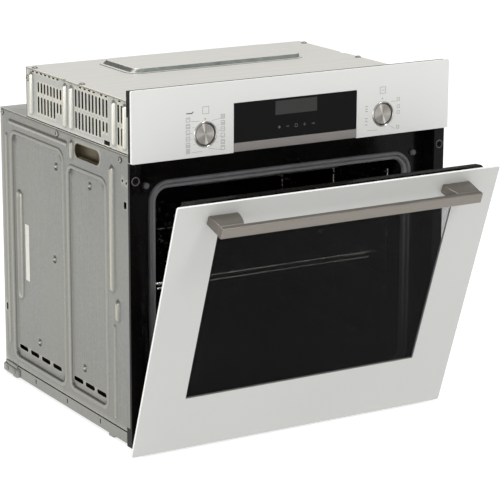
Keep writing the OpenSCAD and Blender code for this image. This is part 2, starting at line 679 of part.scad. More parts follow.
module encoders() color("#33383d") at_datum() mirrored() difference() {
    union() {
        block([knob_x - 11, 44, knob_z - 11], [knob_x + 11, 56, knob_z + 11]);
        rod_y(knob_x, 40, 44, knob_z, 5.5);
    }
    rod_y(knob_x, 38, 54, knob_z, 3 + running_gap);
}

module knob_bezels() color("silver") at_datum() mirrored() difference() {
    union() {
        rod_y(knob_x, -1.5, 0, knob_z, 20.8);
        rod_y(knob_x, 0, 8, knob_z, 19.5);
    }
    rod_y(knob_x, -3, 10, knob_z, 18.3);
}

module spindle_shape() rod_y(0, 4, 53, 0, 3);

module spindle_left() color("silver") at_datum() translate([-knob_x, 0, knob_z]) spindle_shape();

module spindle_right() color("silver") at_datum() translate([knob_x, 0, knob_z]) spindle_shape();

module knob_shape() difference() {
    union() {
        rod_y(0, 1.2, 14, 0, knob_r);
        rod_y(0, 0.4, 1.2, 0, knob_r - 0.8);
        rod_y(0, 14, 36, 0, 7);
    }
    rod_y(0, 3.6, 37, 0, 3 + running_gap);
}

module knob_left() color("lightgray") at_datum() translate([-knob_x, 0, knob_z]) knob_shape();

module knob_right() color("lightgray") at_datum() translate([knob_x, 0, knob_z]) knob_shape();

/* ---------- hinges and door ---------- */

module hinge_receivers() color("silver") at_datum() mirrored() {
    for (x = [hinge_x - 5.2, hinge_x + 3.2]) block([x, 40.6, 19.8], [x + 2, 118, 50]);
    block([hinge_x - 5.2, 40.6, 48], [hinge_x + 5.2, 118, 50]);
    block([hinge_x - 5.2, 40.6, 19.8], [hinge_x + 5.2, 118, 21]);
    rod_x(hinge_x - 5, hinge_x + 5, 87.5, hinge_z + 5, 2.5);
}

module hinge_levers() color("gray") at_datum() mirrored()
    translate([hinge_x - 2.8, 0, 0]) rotate([90, 0, 90]) linear_extrude(5.6) difference() {
        union() {
            translate([hinge_y, hinge_z]) circle(8);
            translate([hinge_y, hinge_z - 8]) square([90, 16]);
        }
        translate([hinge_y, hinge_z]) circle(pin_r + running_gap);
        // Notch that locks on the receiver's cross pin.
        translate([84, hinge_z + 2]) square([7, 7]);
    }

module hinge_boxes() color("silver") on_door() mirrored() {
    for (x = [hinge_x - 5, hinge_x + 3.5])
        plate_x(6, 29, 20, 190, 3, x, x + 1.5);
    block([hinge_x - 5, 6, 48], [hinge_x + 5, 7.5, 190]);
    block([hinge_x - 5, 6, 188], [hinge_x + 5, 29, 190]);
    rod_x(hinge_x - 5, hinge_x + 5, hinge_y, hinge_z, pin_r);
}

module hinge_springs() color("darkgray") on_door() mirrored()
    translate([hinge_x, 18, 70]) rotate_extrude()
        for (i = [0:40]) translate([2.1, 2.4 * i]) circle(1.3);

module door_outer_glass() color("ivory") on_door() difference() {
    plate_y(-front_half, front_half, door_z0, door_z1, 3, 0, glass_t);
    mirrored() rod_y(handle_screw_x, -1, glass_t + 1, handle_z, 3);
}

module door_inner_panes() color("lightgray") on_door() {
    plate_y(-pane_half, pane_half, 41, pane_z1, 2, 14, 17);
    plate_y(-pane_half, pane_half, 41, pane_z1, 2, 27.4, door_rear_y);
}

// Section through the door's inner frame: the top falls away towards the rear.
module door_section(inset, front)
    polygon([
        [glass_t + front, door_inner_z0 + inset],
        [door_rear_y - inset, door_inner_z0 + inset],
        [door_rear_y - inset, door_inner_z1 - 6 - inset],
        [17 - inset / 2, door_inner_z1 - inset],
        [glass_t + front, door_inner_z1 - inset]]);

module along_x(x0, x1)
    translate([x0, 0, 0]) rotate([90, 0, 90]) linear_extrude(x1 - x0) children();

module door_side_profiles() color("#1a1a1a") on_door() mirrored() difference() {
    along_x(pane_half + 0.5, door_inner_half) door_section(0, 0);
    along_x(pane_half + 1.7, door_inner_half - 1.2) union() {
        door_section(1.2, -1);
        translate([glass_t - 1, door_inner_z0 - 1]) square([door_rear_y - glass_t - 0.2, 40]);
    }
    block([hinge_x - 3.8, 25, door_inner_z0 - 1], [hinge_x + 3.8, door_rear_y + 1, 44]);
}

module door_end_profiles() color("#1a1a1a") on_door() {
    difference() {
        along_x(-pane_half, pane_half) intersection() {
            door_section(0, 0);
            translate([0, pane_z1 + 0.5]) square([50, 40]);
        }
        along_x(-pane_half - 1, pane_half + 1) intersection() {
            door_section(1.2, 1.2);
            translate([0, pane_z1 + 2]) square([50, 40]);
        }
        for (i = [-8:8]) plate_z(28 * i - 10, 28 * i + 10, 9, 14, 2.4, door_inner_z1 - 4, door_inner_z1 + 1);
    }
    difference() {
        block([-pane_half + 1.5, glass_t, door_inner_z0], [pane_half - 1.5, door_rear_y, 40.5]);
        block([-pane_half, glass_t + 1.2, door_inner_z0 + 1.5], [pane_half, door_rear_y - 1.2, 39]);
        for (i = [-8:8]) plate_z(28 * i - 10, 28 * i + 10, 13, 19, 2.9, door_inner_z0 - 1, door_inner_z0 + 3);
    }
}

module handle_bar() color("rosybrown") on_door()
    translate([0, -42, handle_z]) rotate([0, 90, 0])
        linear_extrude(480, center = true) translate([0, 4.5]) rounded_rect(18, 9, 2);

// The posts stand on the glass and carry the bar's ends.
module handle_posts() color("rosybrown") on_door() mirrored() {
    translate([0, 0, handle_z - 8.5]) linear_extrude(17)
        polygon([[189, 0], [241, 0], [239.5, -33], [197, -33]]);
    rod_y(handle_screw_x, 0, glass_t, handle_z, 2.6);
}

base_tray();
side_panel_left();
side_panel_right();
carry_pockets();
rear_panel();
deck_plate();
housing_side_left();
housing_side_right();
housing_rear();
top_cover();
duct_cover();
terminal_box();
chassis_screws();
front_frame();
fixing_grommets();
door_buffers();
cavity();
cavity_seal();
insulation();
fan_cover();
convection_fan();
fan_motor();
ring_heater();
grill_element();
bottom_heater();
lamp_housing();
lamp_lens();
lamp_bulb();
temperature_probe();
side_rack_left();
side_rack_right();
wire_shelf();
blower_housing();
blower_wheel();
blower_motor();
air_duct();
thermal_cutout();
control_carrier();
fascia_panel();
display_glass();
trim_strip();
display_module();
control_board();
power_board();
encoders();
knob_bezels();
spindle_left();
spindle_right();
knob_left();
knob_right();
hinge_receivers();
hinge_levers();
hinge_boxes();
hinge_springs();
door_outer_glass();
door_inner_panes();
door_side_profiles();
door_end_profiles();
handle_bar();
handle_posts();
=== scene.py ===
"""Looks of a built-in wall oven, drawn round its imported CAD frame, in mm unless a comment says metres."""
import json
import math
from collections import namedtuple

import bmesh
import bpy
from mathutils import Matrix, Vector, geometry


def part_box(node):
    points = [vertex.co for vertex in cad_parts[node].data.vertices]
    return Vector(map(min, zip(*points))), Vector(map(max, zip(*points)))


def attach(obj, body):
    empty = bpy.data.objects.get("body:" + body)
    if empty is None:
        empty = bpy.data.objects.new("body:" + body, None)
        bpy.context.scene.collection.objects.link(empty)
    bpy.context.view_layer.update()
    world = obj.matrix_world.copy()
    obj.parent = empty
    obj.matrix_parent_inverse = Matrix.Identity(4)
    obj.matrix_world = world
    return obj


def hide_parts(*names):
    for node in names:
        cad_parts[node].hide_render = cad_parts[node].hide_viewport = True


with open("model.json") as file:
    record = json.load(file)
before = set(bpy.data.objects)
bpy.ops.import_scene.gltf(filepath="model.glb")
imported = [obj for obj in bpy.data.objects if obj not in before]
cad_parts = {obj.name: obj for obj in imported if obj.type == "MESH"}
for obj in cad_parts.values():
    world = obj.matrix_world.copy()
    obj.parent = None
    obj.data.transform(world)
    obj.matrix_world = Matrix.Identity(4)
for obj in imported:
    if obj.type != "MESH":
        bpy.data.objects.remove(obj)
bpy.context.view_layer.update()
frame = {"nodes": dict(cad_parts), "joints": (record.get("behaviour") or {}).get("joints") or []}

MM = 0.001

# ---------------------------------------------------------------- places, read from the frame


def side(node, corner, axis):
    """One coordinate of a CAD node's box, in mm."""
    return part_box(node)[corner][axis] / MM


LOW, HIGH = 0, 1
X, Y, Z = 0, 1, 2

FRONT_Y = side("fascia_panel", LOW, Y)
FRONT_HALF = side("fascia_panel", HIGH, X)
FASCIA_Z0 = side("fascia_panel", LOW, Z)
FASCIA_Z1 = side("fascia_panel", HIGH, Z)
BODY_HALF = side("top_cover", HIGH, X)
TOP_Z = side("top_cover", HIGH, Z)
DECK_Z = side("deck_plate", HIGH, Z)
BODY_D = side("deck_plate", HIGH, Y) - FRONT_Y
HOUSING_D = side("housing_rear", HIGH, Y) - FRONT_Y
KNOB_X = (side("knob_right", LOW, X) + side("knob_right", HIGH, X)) / 2
KNOB_Z = (side("knob_right", LOW, Z) + side("knob_right", HIGH, Z)) / 2
KNOB_R = (side("knob_right", HIGH, X) - side("knob_right", LOW, X)) / 2
SEAL_HALF = side("cavity_seal", HIGH, X)
SEAL_Z0 = side("cavity_seal", LOW, Z)
SEAL_Z1 = side("cavity_seal", HIGH, Z)
SEAL_REAR = side("cavity_seal", HIGH, Y) - FRONT_Y
SHEET = 1.0

hinge = next(j for j in frame["joints"] if j["name"] == "door_hinge")
HINGE_PIN = Vector(hinge["pos_m"])
DOOR_TURN = (
    Matrix.Translation(HINGE_PIN)
    @ Matrix.Rotation(math.radians(-hinge["range_deg"][0]), 4, "X")
    @ Matrix.Translation(-HINGE_PIN)
)


def at(x, depth, z):
    """Point in metres, from the sideways place, the depth behind the front glass and the height."""
    return Vector((x, FRONT_Y + depth, z)) * MM


def on_door(x, depth, z):
    """The same on the door, given in its closed position."""
    return DOOR_TURN @ at(x, depth, z)


# ---------------------------------------------------------------- outlines and mesh helpers

Rect = namedtuple("Rect", "u0 u1 v0 v1 r")
Press = namedtuple("Press", "rect height flank")


def inset(rect, by):
    """The same rounded rectangle, moved inward all round."""
    return Rect(rect.u0 + by, rect.u1 - by, rect.v0 + by, rect.v1 - by, max(rect.r - by, 0.4))


def outline(rect, corner_steps=6):
    """Points round a rounded rectangle."""
    r = min(rect.r, (rect.u1 - rect.u0) / 2 - 0.01, (rect.v1 - rect.v0) / 2 - 0.01)
    centres = [
        (rect.u1 - r, rect.v1 - r),
        (rect.u0 + r, rect.v1 - r),
        (rect.u0 + r, rect.v0 + r),
        (rect.u1 - r, rect.v0 + r),
    ]
    points = []
    for corner, (cu, cv) in enumerate(centres):
        for i in range(corner_steps + 1):
            angle = math.radians(90 * (corner + i / corner_steps))
            points.append((cu + r * math.cos(angle), cv + r * math.sin(angle)))
    return points


def circle(u, v, r, steps=20):
    """Points round a circle."""
    turns = [2 * math.pi * i / steps for i in range(steps)]
    return [(u + r * math.cos(t), v + r * math.sin(t)) for t in turns]


def widened(loop, by):
    """A closed outline with each point moved outward from its middle."""
    mid_u = sum(u for u, _ in loop) / len(loop)
    mid_v = sum(v for _, v in loop) / len(loop)
    reach = [math.hypot(u - mid_u, v - mid_v) for u, v in loop]
    return [(u + (u - mid_u) * by / r, v + (v - mid_v) * by / r) for (u, v), r in zip(loop, reach)]


def depth_inside(u, v, rect):
    """Distance inside a rounded rectangle's edge, negative outside it."""
    over_u = abs(u - (rect.u0 + rect.u1) / 2) - ((rect.u1 - rect.u0) / 2 - rect.r)
    over_v = abs(v - (rect.v0 + rect.v1) / 2) - ((rect.v1 - rect.v0) / 2 - rect.r)
    away = math.hypot(max(over_u, 0), max(over_v, 0)) + min(max(over_u, over_v), 0)
    return rect.r - away


def in_loop(u, v, loop):
    """True inside a closed outline."""
    inside = False
    for (u0, v0), (u1, v1) in zip(loop, loop[1:] + loop[:1]):
        if (v0 > v) != (v1 > v) and u < (u1 - u0) * (v - v0) / (v1 - v0) + u0:
            inside = not inside
    return inside


def span(loop):
    """Least and greatest first coordinate of an outline, then the same of the second."""
    us = [p[0] for p in loop]
    vs = [p[1] for p in loop]
    return min(us), max(us), min(vs), max(vs)


def middle(flat, face):
    """Middle of a triangle given as three indices."""
    return sum((flat[i] for i in face), Vector((0, 0))) / 3


def triangulate(points, loops, cut):
    """Triangles over free points and closed loops, less those inside the loops in cut."""
    places = [Vector(p) for p in points]
    edges = []
    for loop in loops:
        first = len(places)
        places += [Vector(p) for p in loop]
        edges += [(first + i, first + (i + 1) % len(loop)) for i in range(len(loop))]
    flat, _, faces, _, _, _ = geometry.delaunay_2d_cdt(places, edges, [], 0, 0.01)
    spans = [(span(loop), loop) for loop in cut]
    kept = []
    for face in faces:
        mid = middle(flat, face)
        near = [loop for (u0, u1, v0, v1), loop in spans if u0 <= mid.x <= u1 and v0 <= mid.y <= v1]
        if not any(in_loop(mid.x, mid.y, loop) for loop in near):
            kept.append(face)
    return flat, kept


def placed(name, data):
    """New object of the scene with that mesh, light or camera."""
    made = bpy.data.objects.new(name, data)
    bpy.context.scene.collection.objects.link(made)
    return made


def piece(name, mesh, finishes, body, stands_for=(), sharp_deg=38, even=False):
    """Puts a finished bmesh in the scene as one piece; even keeps big faces flat beside their bevels."""
    bmesh.ops.recalc_face_normals(mesh, faces=mesh.faces[:])
    data = bpy.data.meshes.new(name)
    mesh.to_mesh(data)
    mesh.free()
    for finish in finishes:
        data.materials.append(finish)
    data.shade_smooth()
    data.set_sharp_from_angle(angle=math.radians(sharp_deg))
    made = placed(name, data)
    if even:
        normals = made.modifiers.new("normals", "WEIGHTED_NORMAL")
        normals.weight = 80
    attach(made, body)
    if stands_for:
        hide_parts(*stands_for)
    return made


def round_edges(mesh, width, segments=2, least_deg=30):
    """Bevels every edge that turns by more than least_deg."""
    least = math.radians(least_deg)
    edges = [e for e in mesh.edges if len(e.link_faces) == 2 and e.calc_face_angle(0) > least]
    settings = {"segments": segments, "profile": 0.5, "affect": "EDGES", "clamp_overlap": True}
    bmesh.ops.bevel(mesh, geom=edges, offset=width * MM, **settings)


def punched_plate(mesh, rim, holes, near, far, place, bevel=0.0, edge_material=0):
    """Flat plate with a rim outline and holes, between two depths, added to mesh.
    Its edges and bevels take the material index edge_material."""
    solid = bmesh.new()
    flat, faces = triangulate([], [rim, *holes], holes)
    faces = [f for f in faces if in_loop(*middle(flat, f), rim)]
    verts = [solid.verts.new(place(p.x, near, p.y)) for p in flat]
    for face in faces:
        solid.faces.new([verts[i] for i in face])
    grown = bmesh.ops.extrude_face_region(solid, geom=solid.faces[:])
    step = place(0, far, 0) - place(0, near, 0)
    bmesh.ops.translate(solid, vec=step, verts=verts_of(grown))
    loose = [v for v in solid.verts if not v.link_faces]
    bmesh.ops.delete(solid, geom=loose, context="VERTS")
    bmesh.ops.recalc_face_normals(solid, faces=solid.faces[:])
    bmesh.ops.dissolve_limit(solid, angle_limit=0.01, verts=solid.verts[:], edges=solid.edges[:])
    if bevel:
        round_edges(solid, bevel)
    facing = step.normalized()
    solid.normal_update()
    for face in solid.faces:
        face.material_index = 0 if abs(face.normal.dot(facing)) > 0.999 else edge_material
    append(mesh, solid)


def verts_of(result):
    """Vertices among the geometry that a bmesh call made."""
    return [v for v in result["geom"] if isinstance(v, bmesh.types.BMVert)]


def append(mesh, other):
    """Adds another bmesh's faces to mesh, and frees it."""
    copies = {v: mesh.verts.new(v.co) for v in other.verts}
    for face in other.faces:
        made = mesh.faces.new([copies[v] for v in face.verts])
        made.material_index = face.material_index
    other.free()


def ring_strip(mesh, rings, ends="open", material=0):
    """Quads between neighbouring closed rings of equal length. ends says whether the first and the last ring
    stay open, are capped or are joined."""
    rows = [[mesh.verts.new(p) for p in ring] for ring in rings]
    pairs = list(zip(rows, rows[1:]))
    if ends == "joined":
        pairs.append((rows[-1], rows[0]))
    count = len(rows[0])
    for a, b in pairs:
        for i in range(count):
            j = (i + 1) % count
            mesh.faces.new([a[i], a[j], b[j], b[i]]).material_index = material
    if ends == "capped":
        mesh.faces.new(rows[0])
        mesh.faces.new(rows[-1])
    return rows


def lathe(mesh, profile, centre, steps=64):
    """Solid of revolution about the depth axis. profile holds (radius, depth) pairs, and either starts and
    ends on the axis or closes on itself."""
    rings = []
    for radius, depth in profile:
        if radius > 0:
            turns = [2 * math.pi * i / steps for i in range(steps)]
            rings.append([centre(radius * math.cos(t), depth, radius * math.sin(t)) for t in turns])
    ends = "joined" if profile[0][0] > 0 and profile[-1][0] > 0 else "open"
    rows = ring_strip(mesh, rings, ends)
    for radius_depth, row in ((profile[0], rows[0]), (profile[-1], rows[-1])):
        if radius_depth[0] == 0:
            tip = mesh.verts.new(centre(0, radius_depth[1], 0))
            for i in range(steps):
                mesh.faces.new([row[i], row[(i + 1) % steps], tip])


def box(mesh, low, high, place, bevel=0.0):
    """Block between two corners (x, depth, z), with its edges rounded."""
    solid = bmesh.new()
    made = bmesh.ops.create_cube(solid, size=1)
    for vert in made["verts"]:
        spot = [low[i] if vert.co[i] < 0 else high[i] for i in range(3)]
        vert.co = place(*spot)
    bmesh.ops.recalc_face_normals(solid, faces=solid.faces[:])
    if bevel:
        round_edges(solid, bevel)
    append(mesh, solid)


def pressed_sheet(name, bounds, presses, holes, place, finish, body, stands_for, pitch=9.0, flange=8.0):
    """Thin sheet with smooth pressed shapes, punched holes, rolled edges and an inward flange.
    place(u, v, h) gives the point at height h out of the sheet, and pitch is the size of its open mesh."""
    u0, u1, v0, v1 = bounds
    roll = 2.0
    roll_steps = (0.3, 1.0)
    # Mesh rings round each pressed shape: the first is mm outside it, the others are shares of its flank.
    ring_insets = (-1.2, 0.0, 0.25, 0.5, 0.75, 1.0)
    # Mesh points keep this far from a pressed shape and from a hole.
    clear_of_press = 2.5
    clear_of_hole = 2.0

    def height(u, v):
        total = 0.0
        for press in presses:
            share = min(max(depth_inside(u, v, press.rect) / press.flank, 0), 1)
            total += press.height * share * share * (3 - 2 * share)
        edge = min(u - u0, u1 - u, v - v0, v1 - v)
        if edge < roll:
            total -= roll - math.sqrt(max(roll * roll - (roll - edge) ** 2, 0))
        return total

    def rolled(low, high):
        ends = [low, *(low + step for step in roll_steps)]
        return ends + [high - step for step in reversed(roll_steps)] + [high]

    def spread(low, high):
        count = max(2, round((high - low) / pitch))
        inner = [low + roll + (high - low - 2 * roll) * i / count for i in range(count + 1)]
        return sorted([*rolled(low, high), *inner])

    def is_free(u, v):
        for press in presses:
            if -clear_of_press < depth_inside(u, v, press.rect) < press.flank + 2.0:
                return False
        for low_u, high_u, low_v, high_v in map(span, holes):
            near_u = low_u - clear_of_hole < u < high_u + clear_of_hole
            if near_u and low_v - clear_of_hole < v < high_v + clear_of_hole:
                return False
        return True

    rim_u = rolled(u0, u1)
    rim_v = rolled(v0, v1)
    grid = [(u, v) for u in spread(u0, u1) for v in spread(v0, v1)]
    grid = [(u, v) for u, v in grid if u in rim_u or v in rim_v or is_free(u, v)]
    rings = []
    for press in presses:
        for share in ring_insets:
            by = share * press.flank if share >= 0 else share
            narrow = min(press.rect.u1 - press.rect.u0, press.rect.v1 - press.rect.v0) / 2
            if by < narrow - 0.3:
                rings.append(outline(inset(press.rect, by), corner_steps=5))
    rings += [widened(hole, 0.8) for hole in holes]
    flat, faces = triangulate(grid, [*holes, *rings], holes)
    mesh = bmesh.new()
    verts = [mesh.verts.new(place(p.x, p.y, height(p.x, p.y))) for p in flat]
    for face in faces:
        mesh.faces.new([verts[i] for i in face])
    out = place(0, 0, 1) - place(0, 0, 0)
    mesh.normal_update()
    mesh.faces.ensure_lookup_table()
    if sum(f.normal.dot(out) for f in mesh.faces) < 0:
        bmesh.ops.reverse_faces(mesh, faces=mesh.faces[:])
    bmesh.ops.delete(mesh, geom=[v for v in mesh.verts if not v.link_faces], context="VERTS")
    # The flange is drawn inward from the sheet's outer edge.
    tight = 0.05
    outer = set()
    for p, vert in zip(flat, verts):
        if vert.is_valid and min(p.x - u0, u1 - p.x, p.y - v0, v1 - p.y) < tight:
            outer.add(vert)
    edge_loop = [e for e in mesh.edges if e.is_boundary and all(v in outer for v in e.verts)]
    grown = bmesh.ops.extrude_edge_only(mesh, edges=edge_loop)
    bmesh.ops.translate(mesh, vec=-out * flange, verts=verts_of(grown))
    # The skin gets its thickness from a copy moved inward, and one quad along each open edge.
    skin = mesh.faces[:]
    open_edges = [e for e in mesh.edges if e.is_boundary]
    mesh.normal_update()
    copied = bmesh.ops.duplicate(mesh, geom=skin)
    partner = copied["vert_map"]
    for vert in {v for f in skin for v in f.verts}:
        partner[vert].co = vert.co - vert.normal * SHEET * MM
    bmesh.ops.reverse_faces(mesh, faces=[f for f in copied["geom"] if isinstance(f, bmesh.types.BMFace)])
    for edge in open_edges:
        near, far = edge.verts
        mesh.faces.new([near, far, partner[far], partner[near]])
    piece(name, mesh, [finish], body, stands_for, sharp_deg=50)


# ---------------------------------------------------------------- materials


def colour(red, green, blue):
    """Linear colour from screen values of 0 to 255."""

    def linear(value):
        value /= 255
        return value / 12.92 if value <= 0.04045 else ((value + 0.055) / 1.055) ** 2.4

    return (linear(red), linear(green), linear(blue), 1.0)


def scaled(base, factor):
    """The same colour, made darker or lighter."""
    return tuple(c * factor for c in base[:3]) + (1.0,)


class Finish:
    """A Principled shader, with short calls for the nodes that vary it."""

    def __init__(self, name, base, roughness, metallic=0.0, **sockets):
        self.material = bpy.data.materials.new(name)
        self.material.use_nodes = True
        self.tree = self.material.node_tree
        self.shader = self.tree.nodes["Principled BSDF"]
        self.base = base
        self.colour_from = None
        self.normal_from = None
        self.shader.inputs["Base Color"].default_value = base
        self.shader.inputs["Roughness"].default_value = roughness
        self.shader.inputs["Metallic"].default_value = metallic
        for socket, value in sockets.items():
            self.shader.inputs[socket.replace("_", " ")].default_value = value
        self.place = self.add("ShaderNodeTexCoord").outputs["Object"]

    def add(self, kind, **settings):
        node = self.tree.nodes.new(kind)
        for key, value in settings.items():
            setattr(node, key, value)
        return node

    def link(self, source, target):
        self.tree.links.new(source, target)

    def stretched(self, stretch):
        mapping = self.add("ShaderNodeMapping")
        mapping.inputs["Scale"].default_value = stretch
        self.link(self.place, mapping.inputs["Vector"])
        return mapping.outputs["Vector"]

    def noise(self, scale, detail=3.0, stretch=(1, 1, 1)):
        """Cloudy pattern; scale is features per metre."""
        node = self.add("ShaderNodeTexNoise")
        node.inputs["Scale"].default_value = scale
        node.inputs["Detail"].default_value = detail
        self.link(self.stretched(stretch), node.inputs["Vector"])
        return node.outputs["Fac"]

    def cells(self, scale, stretch=(1, 1, 1)):
        """Patchwork of random grey cells."""
        node = self.add("ShaderNodeTexVoronoi")
        node.inputs["Scale"].default_value = scale
        self.link(self.stretched(stretch), node.inputs["Vector"])
        split = self.add("ShaderNodeSeparateColor")
        self.link(node.outputs["Color"], split.inputs["Color"])
        return split.outputs["Red"]

    def painted_bend_light(self):
        """Pointiness: high on outward bends and low in inward ones, used as the mask for painted highlights
        and painted shade on bends.
        """
        return self.add("ShaderNodeNewGeometry").outputs["Pointiness"]

    def between(self, source, low, high, from_low=0.3, from_high=0.7):
        node = self.add("ShaderNodeMapRange")
        node.inputs["From Min"].default_value = from_low
        node.inputs["From Max"].default_value = from_high
        node.inputs["To Min"].default_value = low
        node.inputs["To Max"].default_value = high
        self.link(source, node.inputs["Value"])
        return node.outputs["Result"]

    def blend(self, source, other, low=0.0, high=1.0, from_low=0.3, from_high=0.7):
        """Mixes another colour into the base where source is high."""
        mix = self.add("ShaderNodeMix", data_type="RGBA")
        self.link(self.between(source, low, high, from_low, from_high), mix.inputs["Factor"])
        if self.colour_from is None:
            mix.inputs[6].default_value = self.base
        else:
            self.link(self.colour_from, mix.inputs[6])
        mix.inputs[7].default_value = other
        self.colour_from = mix.outputs[2]
        self.link(self.colour_from, self.shader.inputs["Base Color"])
        return self

    def vary(self, socket, source, low, high, from_low=0.3, from_high=0.7):
        self.link(self.between(source, low, high, from_low, from_high), self.shader.inputs[socket])
        return self

    def bump(self, source, height, strength=1.0):
        """Relief of that height in mm."""
        node = self.add("ShaderNodeBump")
        node.inputs["Distance"].default_value = height * MM
        node.inputs["Strength"].default_value = strength
        self.link(source, node.inputs["Height"])
        if self.normal_from is not None:
            self.link(self.normal_from, node.inputs["Normal"])
        self.normal_from = node.outputs["Normal"]
        self.link(self.normal_from, self.shader.inputs["Normal"])
        return self


def zinc_sheet(name, light, bend_highlight_share=0.0, metallic=0.92):
    """Galvanised sheet of one grey, with upright rolling streaks and faint spangle.
    Pressed sheet gets a painted highlight on its outward bends, by the share given, and painted shade in its
    inward creases."""
    f = Finish(name, colour(light, light, light - 6), 0.3, metallic)
    streaks = f.noise(70, 5, (1, 1, 0.05))
    f.blend(streaks, colour(light + 14, light + 14, light + 7), 0.0, 0.6)
    f.blend(f.noise(6, 4), colour(light - 10, light - 8, light - 8), 0.0, 0.5, 0.45, 0.75)
    f.blend(f.cells(260), colour(light + 22, light + 24, light + 24), 0.0, 0.2, 0.2, 0.9)
    if bend_highlight_share:
        # Painted highlight: pale cream on the outward bends of the pressings.
        f.blend(f.painted_bend_light(), colour(232, 226, 206), 0.0, bend_highlight_share, 0.506, 0.545)
        # Painted shade: dark grey in the inward creases of the pressings.
        f.blend(f.painted_bend_light(), colour(64, 64, 58), 0.7, 0.0, 0.465, 0.496)
    f.vary("Roughness", streaks, 0.24, 0.38)
    f.bump(streaks, 0.02, 0.6)
    f.bump(f.noise(900, 3), 0.01, 0.5)
    return f.material


def top_sheet():
    f = Finish("pale_top_sheet", colour(232, 231, 225), 0.38, 0.3)
    streaks = f.noise(60, 5, (0.04, 1, 1))
    f.blend(streaks, colour(222, 220, 213), 0.0, 0.7)
    f.vary("Roughness", streaks, 0.3, 0.46)
    f.bump(f.noise(700, 3), 0.01, 0.5)
    return f.material


def mottled(name, base, patches, patch_noise, share, gloss_noise, gloss, grain=None, metallic=0.0, **sockets):
    """Finish with patches of a second colour, uneven gloss and fine relief. Each noise is (scale, detail),
    gloss is the least and greatest roughness, and grain adds the height in mm and the strength."""
    f = Finish(name, base, sum(gloss) / 2, metallic, **sockets)
    f.blend(f.noise(*patch_noise), patches, 0.0, share)
    f.vary("Roughness", f.noise(*gloss_noise), *gloss)
    if grain:
        scale, detail, height, strength = grain
        f.bump(f.noise(scale, detail), height, strength)
    return f.material


def pocket_steel():
    base, patches = colour(112, 103, 80), colour(78, 72, 58)
    grain = (600, 3, 0.02, 0.6)
    return mottled("pocket_steel", base, patches, (30, 4), 0.8, (90, 3), (0.4, 0.62), grain, 0.5)


def screw_steel():
    f = Finish("screw_steel", colour(176, 174, 166), 0.3, 0.9)
    f.blend(f.noise(400, 4), colour(140, 138, 130), 0.0, 0.7)
    f.bump(f.noise(1800, 2), 0.02, 0.5)
    return f.material


def black_enamel():
    """Fired enamel: glossy, with orange peel and tiny pale specks."""
    f = Finish("black_enamel", colour(10, 9, 8), 0.16, 0.0, Specular_IOR_Level=0.1)
    f.blend(f.cells(1500), colour(70, 72, 78), 0.0, 0.9, 0.975, 0.99)
    f.blend(f.noise(12, 3), colour(18, 16, 15), 0.0, 0.6)
    f.vary("Roughness", f.noise(40, 3), 0.1, 0.24)
    f.bump(f.noise(160, 2), 0.03, 0.5)
    return f.material


def moulded_plastic():
    return mottled(
        "moulded_plastic", colour(17, 13, 10), colour(26, 21, 17), (20, 3), 0.6, (60, 3), (0.38, 0.56),
        (1500, 3, 0.03, 0.6), Specular_IOR_Level=0.1,
    )


def silicone(name, tone):
    base, patches = colour(tone, tone, tone + 2), colour(tone * 0.86, tone * 0.86, tone * 0.88)
    return mottled(
        name, base, patches, (50, 3), 0.7, (180, 3), (0.42, 0.62), (900, 2, 0.03, 0.5), Specular_IOR_Level=0.4
    )


def mineral_wool():
    f = Finish("mineral_wool", colour(84, 78, 60), 0.95)
    fibres = f.noise(260, 8, (1, 0.25, 1))
    f.blend(fibres, colour(52, 47, 33), 0.0, 0.9)
    f.vary("Roughness", f.noise(60, 3), 0.85, 1.0)
    f.bump(fibres, 1.2, 0.8)
    return f.material


def dark_metal(name, base, roughness, metallic=0.8):
    """Heat-darkened or cast metal, mottled; the duct hood's rim also uses it, as painted shade."""
    gloss = (roughness - 0.08, roughness + 0.14)
    grain = (900, 3, 0.03, 0.5)
    return mottled(name, base, scaled(base, 0.55), (45, 4), 0.8, (120, 3), gloss, grain, metallic)


def bright_wire():
    base, patches = colour(186, 182, 176), colour(150, 147, 142)
    grain = (1500, 2, 0.01, 0.4)
    return mottled("bright_wire", base, patches, (60, 3), 0.6, (160, 3), (0.14, 0.3), grain, 1.0)


def lamp_glass():
    f = Finish("lamp_glass", colour(225, 226, 222), 0.12, 0.0, Alpha=0.55, Specular_IOR_Level=0.5)
    f.vary("Roughness", f.noise(80, 3), 0.06, 0.2)
    f.bump(f.noise(220, 2), 0.15, 0.6)
    return f.material


def white_glass(name, light):
    """Back-painted glass: an even white under a smooth clear face."""
    base, patches = colour(light, light, light - 2), colour(light - 5, light - 4, light - 7)
    return mottled(
        name, base, patches, (3, 2), 0.6, (7, 3), (0.12, 0.2), (14, 1, 0.01, 0.3), Specular_IOR_Level=0.2
    )


def glass_edge():
    """Ground edge of the white glass, pale as ground glass is, and made paler than the white face as a
    painted highlight where it catches the light.
    """
    base, patches = colour(244, 244, 241), colour(236, 237, 234)
    return mottled("glass_edge", base, patches, (60, 2), 0.6, (200, 2), (0.24, 0.36), Specular_IOR_Level=0.5)


def black_glass(name, base):
    return mottled(
        name, base, scaled(base, 1.5), (9, 3), 0.5, (30, 3), (0.05, 0.14), (16, 1, 0.01, 0.3),
        Specular_IOR_Level=0.08,
    )


def tinted_window():
    """Smoked door glass with the faintest haze."""
    return mottled(
        "tinted_window", colour(16, 16, 17), colour(26, 25, 25), (5, 3), 0.6, (18, 4), (0.03, 0.1),
        Alpha=0.34, Specular_IOR_Level=0.08,
    )


def clear_pane():
    return mottled(
        "clear_pane", colour(24, 25, 24), colour(40, 42, 40), (8, 3), 0.6, (20, 3), (0.03, 0.09),
        Alpha=0.06, Specular_IOR_Level=0.06,
    )


def door_steel():
    return mottled(
        "door_steel", colour(8, 7, 7), colour(16, 14, 12), (25, 3), 0.6, (40, 3), (0.22, 0.38),
        (400, 2, 0.01, 0.4), Specular_IOR_Level=0.05,
    )


